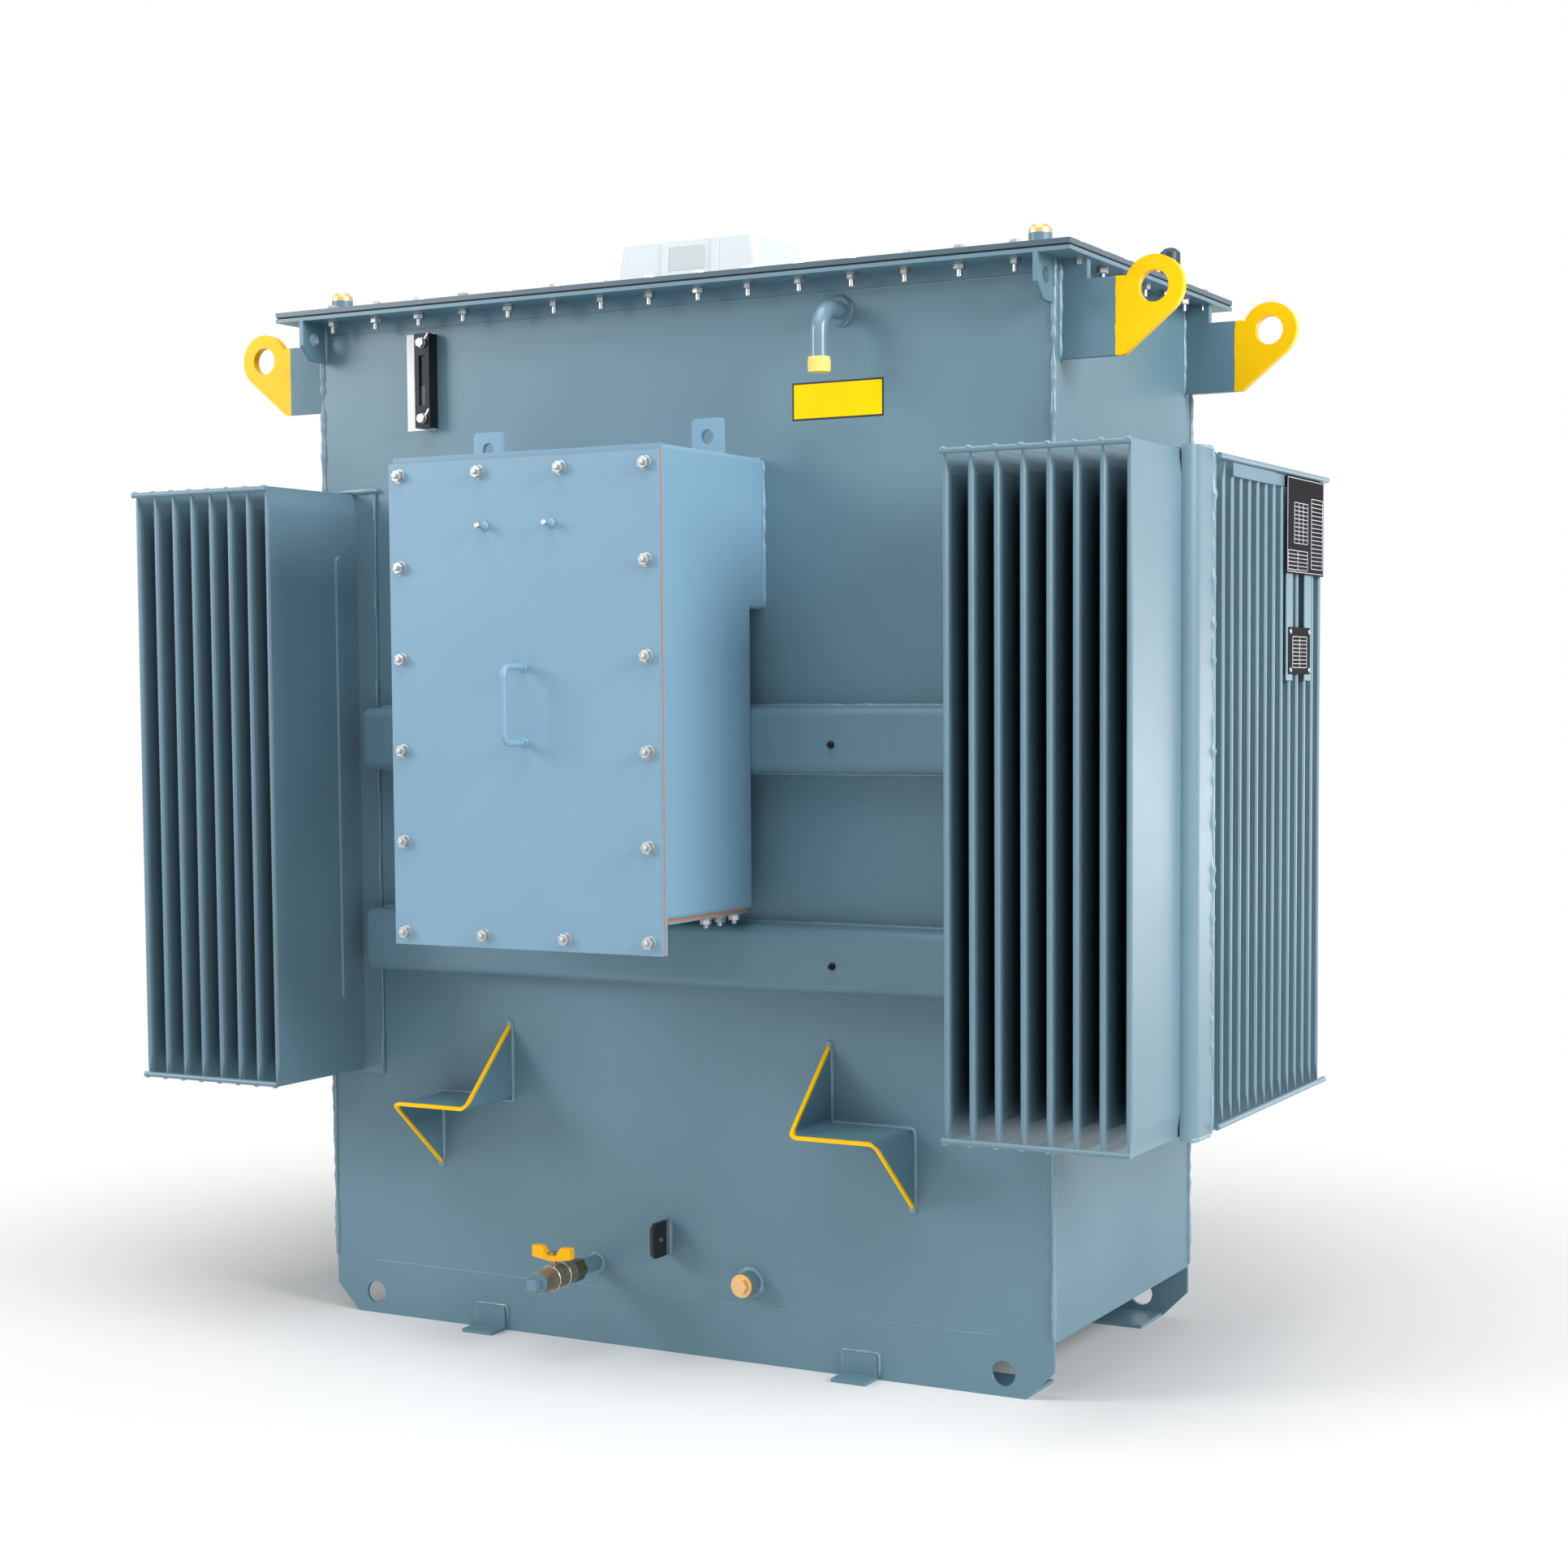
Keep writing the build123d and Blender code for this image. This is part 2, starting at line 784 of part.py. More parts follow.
# Each node and the solids in it
nodes = {
    "front_wall": [front_wall],
    "rear_wall": [behind(front_wall)],
    "right_wall": [right_wall],
    "left_wall": [left_of(right_wall)],
    "tank_floor": [tank_floor],
    "base_skids": [front_skid, behind(front_skid)],
    "top_flange": [top_flange],
    "lid_gasket": [lid_gasket],
    "lid": [lid],
    "front_stiffeners": front_stiffeners,
    "rear_stiffeners": [behind(piece) for piece in front_stiffeners],
    "right_front_fins": right_front_fins,
    "left_front_fins": [left_of(piece) for piece in right_front_fins],
    "right_side_fins": right_side_fins,
    "left_side_fins": [left_of(piece) for piece in right_side_fins],
    "right_radiator_header": [right_header + right_side_sheet],
    "left_radiator_header": [left_of(right_header + right_side_sheet)],
    "right_tip_rods": right_rods,
    "left_tip_rods": [left_of(piece) for piece in right_rods],
    "front_cable_box": [front_box],
    "rear_cable_box": [behind(front_box)],
    "front_box_gaskets": front_corks,
    "rear_box_gaskets": [behind(piece) for piece in front_corks],
    "front_box_cover": [front_cover],
    "rear_box_cover": [behind(front_cover)],
    "front_box_handle": [front_handle],
    "rear_box_handle": [behind(front_handle)],
    "gland_plates": [front_gland, behind(front_gland)],
    "front_lifting_lugs": [front_right_lug, left_of(front_right_lug)],
    "rear_lifting_lugs": [behind(front_right_lug), behind(left_of(front_right_lug))],
    "tie_down_plates": [
        front_right_tie, left_of(front_right_tie),
        behind(front_right_tie), behind(left_of(front_right_tie)),
    ],
    "step_brackets": [Pos(-right_step_shift, 0, 0) * step, left_of(step)],
    "foot_cleats": front_cleats + [behind(piece) for piece in front_cleats],
    "oil_level_gauge": [gauge],
    "breather_pipe": [breather_pipe_piece],
    "breather_cap": [breather_cap_piece],
    "threaded_bosses": threaded_bosses,
    "brass_plugs": brass_plugs,
    "pressure_relief_valve": [relief_valve],
    "relay_box": [relay],
    "drain_stub": [drain_stub],
    "drain_valve": [valve],
    "drain_plug": [drain_plug],
    "drain_handle": [drain_handle],
    "earthing_plate": [earthing_plate],
}

os.makedirs("parts", exist_ok=True)
for name, solids in nodes.items():
    piece = solids[0] if len(solids) == 1 else Compound(children=list(solids))
    export_step(piece, f"parts/{name}.step")
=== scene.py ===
import math
import bpy
import numpy as np
from mathutils import Matrix


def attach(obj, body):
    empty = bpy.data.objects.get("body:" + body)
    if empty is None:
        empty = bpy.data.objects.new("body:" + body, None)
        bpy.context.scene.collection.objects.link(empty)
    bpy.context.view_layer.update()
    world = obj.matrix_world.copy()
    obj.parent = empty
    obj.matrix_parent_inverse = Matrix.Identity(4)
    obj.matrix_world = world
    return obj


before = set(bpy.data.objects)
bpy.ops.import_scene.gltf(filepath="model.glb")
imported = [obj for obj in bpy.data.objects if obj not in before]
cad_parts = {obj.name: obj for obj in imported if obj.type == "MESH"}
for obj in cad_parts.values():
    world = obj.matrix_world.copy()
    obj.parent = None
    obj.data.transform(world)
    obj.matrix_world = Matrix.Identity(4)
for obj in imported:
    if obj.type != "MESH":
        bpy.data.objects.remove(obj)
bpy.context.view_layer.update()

BODY = "transformer"

# ---- Tank: walls, skirt, floor and feet
# Folded and welded 6 mm steel plate, shot-blasted and sprayed with blue-grey enamel. The front and
# rear walls run on below the floor as a skirt. The film is satin, with a faint orange peel.
MM = 0.001


def linear(code):
    """sRGB hex to linear RGBA: each channel c is ((c + 0.055) / 1.055) ** 2.4, or c / 12.92 when dark."""
    c = np.array([int(code[i:i + 2], 16) for i in (1, 3, 5)]) / 255.0
    c = np.where(c <= 0.04045, c / 12.92, ((c + 0.055) / 1.055) ** 2.4)
    return (*c.tolist(), 1.0)


def add_node(tree, kind, settings=None, links=None):
    """Adds one node, sets its properties or sockets by name, and links sockets {input: output}. Sockets
    whose names repeat go by number: a colour mix has its factor at 0, its colours at 6 and 7 and its
    result at 2, and other nodes count theirs from 0."""
    node = tree.nodes.new(kind)
    for key, value in (settings or {}).items():
        if isinstance(key, str) and hasattr(node, key):
            setattr(node, key, value)
        else:
            node.inputs[key].default_value = value
    for key, output in (links or {}).items():
        tree.links.new(output, node.inputs[key])
    return node


def new_material(name):
    """An empty node material; returns the material, its tree and its Object coordinates."""
    material = bpy.data.materials.new(name)
    material.use_nodes = True
    tree = material.node_tree
    tree.nodes.clear()
    place = add_node(tree, "ShaderNodeTexCoord").outputs["Object"]
    return material, tree, place


def finish_surface(tree, surface):
    """Joins the shader to the material's output."""
    add_node(tree, "ShaderNodeOutputMaterial", None, {"Surface": surface.outputs["BSDF"]})


PATCH, PEEL = 0.35, 0.006


def enamel_nodes(tree, place, light, dark, rough, round_off=0.0):
    """Sprayed enamel: two close tints mixed by slow noise in patches of size PATCH, orange peel with
    dimples of size PEEL as bump, and gloss that varies with the tint. round_off is the radius to which
    a thick film rounds the edges off. All are in metres."""
    slow = add_node(tree, "ShaderNodeTexNoise", {"Scale": 1 / PATCH, "Detail": 3.0},
                    {"Vector": place})
    tint = add_node(tree, "ShaderNodeMix", {"data_type": "RGBA", 6: linear(light), 7: linear(dark)},
                    {0: slow.outputs["Fac"]})
    fine = add_node(tree, "ShaderNodeTexNoise", {"Scale": 1 / PEEL, "Detail": 2.0}, {"Vector": place})
    bump = add_node(tree, "ShaderNodeBump", {"Strength": 0.10, "Distance": 0.0004},
                    {"Height": fine.outputs["Fac"]})
    if round_off:
        edge = add_node(tree, "ShaderNodeBevel", {"samples": 4, "Radius": round_off})
        tree.links.new(edge.outputs["Normal"], bump.inputs["Normal"])
    gloss = add_node(tree, "ShaderNodeMapRange", {"To Min": rough - 0.05, "To Max": rough + 0.06},
                     {"Value": slow.outputs["Fac"]})
    return tint, bump, gloss


def enamel(name, light, dark, rough, round_off=0.0):
    """A sprayed enamel with the same film all over the piece."""
    material, tree, place = new_material(name)
    tint, bump, gloss = enamel_nodes(tree, place, light, dark, rough, round_off)
    shader = add_node(tree, "ShaderNodeBsdfPrincipled", {"IOR": 1.5},
                      {"Base Color": tint.outputs[2], "Roughness": gloss.outputs[0],
                       "Normal": bump.outputs[0]})
    finish_surface(tree, shader)
    return material


def paint_nodes_of(names, material):
    """Gives CAD nodes one finish."""
    for node in names:
        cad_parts[node].data.materials.clear()
        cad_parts[node].data.materials.append(material)


# Blue-grey alkyd enamel: a satin film, a little darker where it has gone on thinner
TANK_LIGHT, TANK_DARK = "#688A99", "#5D7D8C"
tank_paint = enamel("blue_grey_sprayed_enamel", TANK_LIGHT, TANK_DARK, rough=0.40)
walls = ["front_wall", "rear_wall", "right_wall", "left_wall"]
paint_nodes_of([*walls, "tank_floor", "base_skids"], tank_paint)

# The same enamel over weld metal, glossier where it pools in the ripples, and its colour painted paler as a
# highlight on the beads
weld_paint_with_painted_highlight = enamel("blue_grey_enamel_on_weld_painted_pale", "#86A0AD", "#708D9B", rough=0.2)

HALF_W, HALF_D = 685 * MM, 302 * MM
FLANGE_UNDER = 1729 * MM


def add_piece(name, points, faces, material, slot, smooth=35):
    """Makes one mesh from whole arrays, rides it on the tank, and keeps edges sharper than smooth."""
    mesh = bpy.data.meshes.new(name)
    mesh.from_pydata(np.asarray(points, float).reshape(-1, 3).tolist(), [], faces)
    mesh.shade_smooth()
    mesh.set_sharp_from_angle(angle=math.radians(smooth))
    mesh.materials.append(material)
    piece = bpy.data.objects.new(name, mesh)
    bpy.context.scene.collection.objects.link(piece)
    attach(piece, BODY)
    return piece


def ring_faces(rings, sides, start=0):
    """Quads that join rings of points, closed round each ring, with a face over each end."""
    i = np.arange(sides)
    k = (i + 1) % sides
    j = np.arange(rings - 1)[:, None] * sides
    quads = np.stack([i + j, k + j, k + j + sides, i + j + sides], -1).reshape(-1, 4) + start
    last = (rings - 1) * sides
    return quads.tolist() + [(i[::-1] + start).tolist(), (i + last + start).tolist()]


def joined(*parts):
    """Several (points, faces) pairs as one."""
    points, faces, start = [], [], 0
    for p, f in parts:
        points.append(p)
        faces += [[i + start for i in face] for face in f]
        start += len(p)
    return np.concatenate(points), faces


# One stream of random draws, for the ripple of every weld bead and the turn of every hexagon
rng = np.random.default_rng(7)


def along(*corners, pitch=6 * MM):
    """Points at an even pitch along straight runs, interpolated by the length walked from the start."""
    corners = np.array(corners, float)
    walked = np.append(0, np.cumsum(np.linalg.norm(np.diff(corners, axis=0), axis=1)))
    s = np.linspace(0, walked[-1], max(int(walked[-1] / pitch), 4))
    return np.stack([np.interp(s, walked, corners[:, k]) for k in range(3)], 1)


def across(x0, x1, y, z, pitch=6 * MM):
    """Points along a level line from x0 to x1."""
    return along((x0, y, z), (x1, y, z), pitch=pitch)


def upright(x, y, z0, z1):
    """Points up a vertical line from z0 to z1."""
    return along((x, y, z0), (x, y, z1))


def bead(path, up, radius, closed=False, swell=0.3, sides=8):
    """A hand-laid weld bead along a flat path: point + r (cos b up + sin b side), where side is the
    run crossed with up, and r = radius (1 + swell * smoothed noise), drawn in at open ends."""
    path, up = np.array(path, float), np.array(up, float)
    n = len(path)
    run = np.roll(path, -1, 0) - np.roll(path, 1, 0) if closed else np.gradient(path, axis=0)
    side = np.cross(run, up)
    side /= np.linalg.norm(side, axis=1)[:, None]
    noise = rng.normal(size=n)
    ripple = (0.5 * noise + 0.25 * np.roll(noise, 1) + 0.25 * np.roll(noise, -1)) * 0.8
    near_end = np.minimum(np.arange(n), np.arange(n)[::-1])
    draw = 1.0 if closed else np.clip(0.35 + 0.4 * near_end, 0, 1)
    r = (radius * (1 + swell * ripple) * draw)[:, None, None]
    b = 2 * np.pi * np.arange(sides)[None, :, None] / sides
    points = path[:, None] + r * (np.cos(b) * up + np.sin(b) * side[:, None])
    faces = ring_faces(n, sides)
    if closed:
        i = np.arange(sides)
        k, last = (i + 1) % sides, (n - 1) * sides
        faces = faces[:-2] + np.stack([i + last, k + last, k, i], -1).tolist()
    return points.reshape(-1, 3), faces


def both_sides(*parts):
    """The same parts with their mirror image in X = 0, its faces turned to point outwards."""
    points, faces = joined(*parts)
    return joined((points, faces), (points * (-1, 1, 1), [f[::-1] for f in faces]))


def front_and_rear(*parts):
    """The same parts with their mirror image in Y = 0, its faces turned to point outwards."""
    points, faces = joined(*parts)
    return joined((points, faces), (points * (1, -1, 1), [f[::-1] for f in faces]))


# Directions that beads, plates and turned shapes face
RIGHT, FRONT, REAR, UP, DOWN = (1, 0, 0), (0, -1, 0), (0, 1, 0), (0, 0, 1), (0, 0, -1)

# The tank's four corners are welded from the skirt up to the flange
CORNER_LOW = 0.095
corner_bead = bead(upright(HALF_W, -HALF_D, CORNER_LOW, FLANGE_UNDER), FRONT, 4.4 * MM, swell=0.4)
add_piece("tank_corner_welds", *both_sides(front_and_rear(corner_bead)), weld_paint_with_painted_highlight, "grey_paint", smooth=60)

# A thin fillet just under the flange, where the wall's top strip is joined, and a faint line of weld
# where the floor meets the skirt
TOP_SEAM_Z, TOP_SEAM_HALF = 1.7075, 0.68
FLOOR_SEAM_Z, FLOOR_SEAM_HALF, SEAM_PITCH = 0.094, 0.60, 12 * MM
top_seam = bead(across(-TOP_SEAM_HALF, TOP_SEAM_HALF, -HALF_D, TOP_SEAM_Z, SEAM_PITCH), FRONT, 1.4 * MM)
floor_seam = bead(across(-FLOOR_SEAM_HALF, FLOOR_SEAM_HALF, -HALF_D + 0.0003, FLOOR_SEAM_Z, SEAM_PITCH),
                  FRONT, 0.9 * MM)
add_piece("wall_top_seams", *front_and_rear(top_seam, floor_seam), weld_paint_with_painted_highlight, "grey_paint", smooth=60)

# ---- Top flange, gasket and lid
# A flat steel frame welded round the tank, a rubber gasket and an 8 mm lid, pulled together by M10
# bolts. The frame and lid are sprayed with the tank, and the bolts are zinc plated.
paint_nodes_of(["top_flange"], tank_paint)

# The same enamel on the lid, in a darker blue-grey
lid_paint = enamel("blue_grey_enamel_on_lid", "#4C6270", "#435865", rough=0.35)
paint_nodes_of(["lid"], lid_paint)


def plain_surface(name, light, dark, size, rough, metallic=0.0, bump=0.08, shine=0.5):
    """A finish of two close tints in grains of a real size in metres, with matching bump and gloss.
    shine is how strongly the surface mirrors seen straight on, 0.5 for a bare clean one."""
    material, tree, place = new_material(name)
    grain = add_node(tree, "ShaderNodeTexNoise", {"Scale": 1 / size, "Detail": 3.0}, {"Vector": place})
    tint = add_node(tree, "ShaderNodeMix", {"data_type": "RGBA", 6: linear(light), 7: linear(dark)},
                    {0: grain.outputs["Fac"]})
    raised = add_node(tree, "ShaderNodeBump", {"Strength": bump, "Distance": 0.0003},
                      {"Height": grain.outputs["Fac"]})
    gloss = add_node(tree, "ShaderNodeMapRange", {"To Min": rough - 0.05, "To Max": rough + 0.05},
                     {"Value": grain.outputs["Fac"]})
    shader = add_node(tree, "ShaderNodeBsdfPrincipled", {"Metallic": metallic, "Specular IOR Level": shine},
                      {"Base Color": tint.outputs[2], "Roughness": gloss.outputs[0],
                       "Normal": raised.outputs[0]})
    finish_surface(tree, shader)
    return material


# Nitrile-bonded rubber, matt and nearly black
gasket_rubber = plain_surface("nitrile_rubber_sheet", "#22272B", "#1A1E21", size=0.004, rough=0.75)
paint_nodes_of(["lid_gasket"], gasket_rubber)

# Bright zinc plate on steel: pale, slightly mottled and softly shiny
zinc = plain_surface("bright_zinc_plate", "#CDD1D2", "#A3A8AA", size=0.005, rough=0.36, metallic=0.9)

LID_TOP = 1746 * MM
BOLT_PITCH = 90.85 * MM
EDGE_FROM_TANK = 30 * MM
FRONT_BOLTS, SIDE_BOLTS = 15, 7
front_x = (np.arange(FRONT_BOLTS) - FRONT_BOLTS // 2) * BOLT_PITCH
side_y = (np.arange(SIDE_BOLTS) - SIDE_BOLTS // 2) * BOLT_PITCH
bolt_places = np.array(
    [(x, sy * (HALF_D + EDGE_FROM_TANK), 0) for sy in (-1, 1) for x in front_x]
    + [(sx * (HALF_W + EDGE_FROM_TANK), y, 0) for sx in (-1, 1) for y in side_y]
)


def axes_for(axis):
    """Two unit vectors square to an axis and the axis's own unit vector, a right-handed three."""
    w = np.array(axis, float)
    w /= np.linalg.norm(w)
    helper = np.array((0, 0, 1.0)) if abs(w[2]) < 0.9 else np.array((1.0, 0, 0))
    u = np.cross(helper, w)
    u /= np.linalg.norm(u)
    return u, np.cross(w, u), w


def turned(profile, centres, axis, sides=20, turns=None):
    """Turned shapes: radius r and height h along the axis, as centre + r cos(a) u + r sin(a) v + h w,
    for all centres at once. turns gives each copy its own start angle."""
    u, v, w = axes_for(axis)
    r, h = np.array(profile, float).T
    centres = np.asarray(centres, float).reshape(-1, 3)
    start = np.zeros(len(centres)) if turns is None else np.asarray(turns, float)
    a = start[:, None] + 2 * np.pi * np.arange(sides) / sides
    spoke = np.cos(a)[..., None] * u + np.sin(a)[..., None] * v
    points = centres[:, None, None] + r[:, None, None] * spoke[:, None] + h[:, None, None] * w
    step = len(r) * sides
    faces = [f for c in range(len(centres)) for f in ring_faces(len(r), sides, c * step)]
    return points.reshape(-1, 3), faces


def hexagon(flats, height, chamfer):
    """Profile of a hexagon bar with chamfered ends, its radius to the corners."""
    r = flats / math.sqrt(3)
    return [(r - chamfer, 0), (r, chamfer * 0.6), (r, height - chamfer * 0.6), (r - chamfer, height)]


def washer(radius, height):
    """Profile of a washer with a small chamfer."""
    chamfer = 0.4 * MM
    return [(radius - chamfer, 0), (radius, chamfer), (radius, height - chamfer), (radius - chamfer, height)]


def fixings(places, axis, base, flats, radius, thick, head, tip):
    """A washer, a hexagon and a rounded stud end stacked along an axis, at each place. flats is the
    hexagon's width, radius and thick are the washer's, and head and tip are heights."""
    w = np.array(axis, float)
    places = np.asarray(places, float) + base * w
    turns = rng.uniform(0, math.pi, len(places))
    stud = flats * 0.26
    stack = [
        turned(washer(radius, thick), places, axis, 18),
        turned(hexagon(flats, head, 1.2 * MM), places + thick * w, axis, 6, turns),
    ]
    if tip > 0:
        end = [(stud, 0), (stud, tip - 1.5 * MM), (stud - 1.5 * MM, tip)]
        stack.append(turned(end, places + (thick + head) * w, axis, 12))
    return joined(*stack)


upper = fixings(bolt_places, UP, LID_TOP, flats=16 * MM, radius=10 * MM, thick=2 * MM, head=7 * MM, tip=0)
lower = fixings(bolt_places, DOWN, -FLANGE_UNDER, flats=16 * MM, radius=10 * MM, thick=2 * MM,
                head=8 * MM, tip=12 * MM)
add_piece("lid_bolts", *joined(upper, lower), zinc, "grey_paint", smooth=25)

# ---- Stiffeners
# Two channels of folded steel plate, welded across each long wall and painted with the tank. On each
# front one stands a small stud with a nut, of black-oxide steel.
paint_nodes_of(["front_stiffeners", "rear_stiffeners"], tank_paint)
STIFF_X, STIFF_HALF_H, STIFF_FACE = 572 * MM, 52.5 * MM, 347 * MM
STIFF_MIDDLES = (0.667, 1.012)
stiff_beads = [bead(across(-STIFF_X, STIFF_X, -HALF_D, z + s * STIFF_HALF_H), FRONT, 4 * MM)
               for z in STIFF_MIDDLES for s in (-1, 1)]
add_piece("stiffener_welds", *front_and_rear(*stiff_beads), weld_paint_with_painted_highlight, "grey_paint", smooth=60)

# Black-oxide steel, dull
black_steel = plain_surface("black_oxide_steel", "#25282B", "#15181A", size=0.003, rough=0.5, metallic=0.6)
STUD_X, STUD_ZS = 0.331, (1.005, 0.659)
studs = fixings([(STUD_X, -STIFF_FACE, z) for z in STUD_ZS], FRONT, 0, flats=9 * MM, radius=6 * MM,
                thick=1.2 * MM, head=4 * MM, tip=8 * MM)
add_piece("stiffener_studs", *studs, black_steel, "grey_paint", smooth=25)

# ---- Radiators
# Corrugated panels of thin sheet, folded into deep fins, pinched and seam-welded at both ends, with
# a rod across the tips. They are dipped and flow-coated, so the film is glossier than the tank's.
FIN_LIGHT, FIN_DARK, FIN_ROUGH = "#6F8D9B", "#5F7B89", 0.34
fin_paint = enamel("flow_coated_blue_grey_enamel", FIN_LIGHT, FIN_DARK, FIN_ROUGH)
radiator_nodes = ["side_fins", "radiator_header", "tip_rods"]
paint_nodes_of([f"{side}_{kind}" for side in ("right", "left") for kind in radiator_nodes], fin_paint)

# The painted shade deep in the folds: its range in |X|, where it begins and is full in |Y|, and its
# middle in Z with the distances from there at which it ends and is full
FOLD_FROM, FOLD_TO = 0.6175, 0.8965
FOLD_TIP, FOLD_SHADE_FULL = 0.541, 0.468
FOLD_MIDDLE, END_LIT, END_SHADE_FULL = 0.925, 0.497, 0.42


def enamel_with_painted_fold_shade():
    """The same enamel with painted shade between the folds, turning near black where the fins shade
    each other: a smooth step in |Y| from the fin tips inwards times one in |Z - middle| from both ends,
    where |X| lies between the middles of the first and the last fin."""
    material, tree, place = new_material("flow_coated_enamel_with_painted_fold_shade")
    tint, bump, gloss = enamel_nodes(tree, place, FIN_LIGHT, FIN_DARK, FIN_ROUGH)
    parts = add_node(tree, "ShaderNodeSeparateXYZ", None, {0: place})
    size_x = add_node(tree, "ShaderNodeMath", {"operation": "ABSOLUTE"}, {0: parts.outputs["X"]})
    size_y = add_node(tree, "ShaderNodeMath", {"operation": "ABSOLUTE"}, {0: parts.outputs["Y"]})
    deep = add_node(tree, "ShaderNodeMapRange",
                    {"interpolation_type": "SMOOTHSTEP", "From Min": FOLD_TIP, "From Max": FOLD_SHADE_FULL},
                    {"Value": size_y.outputs[0]})
    past = add_node(tree, "ShaderNodeMath", {"operation": "GREATER_THAN", 1: FOLD_FROM},
                    {0: size_x.outputs[0]})
    before = add_node(tree, "ShaderNodeMath", {"operation": "LESS_THAN", 1: FOLD_TO},
                      {0: size_x.outputs[0]})
    inside = add_node(tree, "ShaderNodeMath", {"operation": "MULTIPLY"},
                      {0: past.outputs[0], 1: before.outputs[0]})
    up = add_node(tree, "ShaderNodeMath", {"operation": "SUBTRACT", 1: FOLD_MIDDLE},
                  {0: parts.outputs["Z"]})
    off_middle = add_node(tree, "ShaderNodeMath", {"operation": "ABSOLUTE"}, {0: up.outputs[0]})
    low = add_node(tree, "ShaderNodeMapRange",
                   {"interpolation_type": "SMOOTHSTEP", "From Min": END_LIT, "From Max": END_SHADE_FULL},
                   {"Value": off_middle.outputs[0]})
    painted_shade_depth = add_node(tree, "ShaderNodeMath", {"operation": "MULTIPLY"},
                     {0: low.outputs[0], 1: deep.outputs[0]})
    share = add_node(tree, "ShaderNodeMath", {"operation": "MULTIPLY"},
                     {0: inside.outputs[0], 1: painted_shade_depth.outputs[0]})
    # The near-black colour is painted shade, mixed in deep between the folds
    both = add_node(tree, "ShaderNodeMix", {"data_type": "RGBA", 7: linear("#16242E")},
                    {0: share.outputs[0], 6: tint.outputs[2]})
    shader = add_node(tree, "ShaderNodeBsdfPrincipled", {"IOR": 1.5},
                      {"Base Color": both.outputs[2], "Roughness": gloss.outputs[0],
                       "Normal": bump.outputs[0]})
    finish_surface(tree, shader)
    return material


# The front fins' enamel, with painted shade deep between their folds
paint_nodes_of(["right_front_fins", "left_front_fins"], enamel_with_painted_fold_shade())

# Weld nubs where the front rods cross the fin tips
FIRST_FIN, FIN_PITCH, FINS = 617, 40, 8
FIN_X = (FIRST_FIN + FIN_PITCH * np.arange(FINS)) * MM
FIN_LOW, FIN_HIGH, ROD_Y = 433 * MM, 1433 * MM, -0.5465
nub_profile = [(5 * MM, -1 * MM), (5 * MM, 0.6 * MM), (3.6 * MM, 2 * MM), (1.5 * MM, 2.8 * MM)]
nubs = [turned(nub_profile, [(x, ROD_Y, z) for x in FIN_X], (0, 0, way), 10)
        for z, way in ((FIN_HIGH - 0.8 * MM, 1), (FIN_LOW + 0.8 * MM, -1))]
add_piece("rod_weld_nubs", *both_sides(*nubs), weld_paint_with_painted_highlight, "grey_paint", smooth=50)

# Rough beads behind the corner post and round its two rims, and where the panel's edge strip meets
# the tank: seven short stitches, a fine line and a bead over the top
POST_X, POST_REAR, HEAD_LOW, HEAD_HIGH = 0.9235, -0.2695, 0.427, 1.439
STRIP_X, STRIP_Y = 0.5745, -0.308
STITCH_ZS, STITCH = np.arange(0.45, 1.40, 0.155), 0.045
TOP_FROM, TOP_TO, TOP_Y = 0.566, 0.645, -0.309
post_bead = bead(upright(POST_X - 0.002, POST_REAR, HEAD_LOW, HEAD_HIGH), REAR, 4.5 * MM, swell=0.55)
rim_corners = [(0.9015, -0.340), (0.918, -0.338), (POST_X - 0.001, -0.325), (POST_X - 0.001, POST_REAR)]
rims = [bead(along(*[(x, y, z) for x, y in rim_corners]), UP, 2.6 * MM, swell=0.7)
        for z in (HEAD_LOW + 0.002, HEAD_HIGH - 0.001)]
stitches = [bead(upright(STRIP_X, STRIP_Y, z, z + STITCH), FRONT, 2.6 * MM) for z in STITCH_ZS]
strip_edge = bead(upright(STRIP_X, STRIP_Y + 0.003, HEAD_LOW, HEAD_HIGH), FRONT, 1.8 * MM, swell=0.15)
strip_top = bead(across(TOP_FROM, TOP_TO, TOP_Y, HEAD_HIGH - 0.001), UP, 5.5 * MM, swell=0.12)
add_piece("radiator_welds", *both_sides(post_bead, *rims, *stitches, strip_edge, strip_top),
          weld_paint_with_painted_highlight, "grey_paint", smooth=60)

# ---- Rating plates and their carrier
# Two painted bars and two straps hang under the top rod of the right side fins. They carry two black
# anodised plates, left with plain ruled fields. The small one is held by four bright screws.
CARRIER_X, BAR_THICK, PLATE_THICK, PLATE_CORNER = 0.9253, 0.0022, 0.0014, 3 * MM
BIG_PLATE_X, BIG_FACE_X, SMALL_FACE_X = 0.9298, 0.9311, 0.9288


def plate(centre, u, v, size, thick, corner=3 * MM, ease=0.6 * MM):
    """A flat plate with round corners and an eased outer edge. Outline point i is a corner's centre
    plus (corner - inset)(cos a, sin a), on three rings at heights 0, thick - ease and thick, of which
    the last is inset by ease. The plate grows from its back face, along u crossed with v."""
    u, v = np.array(u, float), np.array(v, float)
    per_corner = 5
    i = np.arange(4 * per_corner)
    a = (i // per_corner + (i % per_corner) / (per_corner - 1)) * np.pi / 2
    at_u = np.repeat([1, -1, -1, 1], per_corner) * (size[0] / 2 - corner)
    at_v = np.repeat([1, 1, -1, -1], per_corner) * (size[1] / 2 - corner)
    inset = np.array([0, 0, ease])[:, None]
    height = np.array([0, thick - ease, thick])[:, None] + 0 * a
    along_u = at_u + (corner - inset) * np.cos(a)
    along_v = at_v + (corner - inset) * np.sin(a)
    points = (np.array(centre, float) + along_u[..., None] * u + along_v[..., None] * v
              + height[..., None] * np.cross(u, v))
    return points.reshape(-1, 3), ring_faces(3, 4 * per_corner)


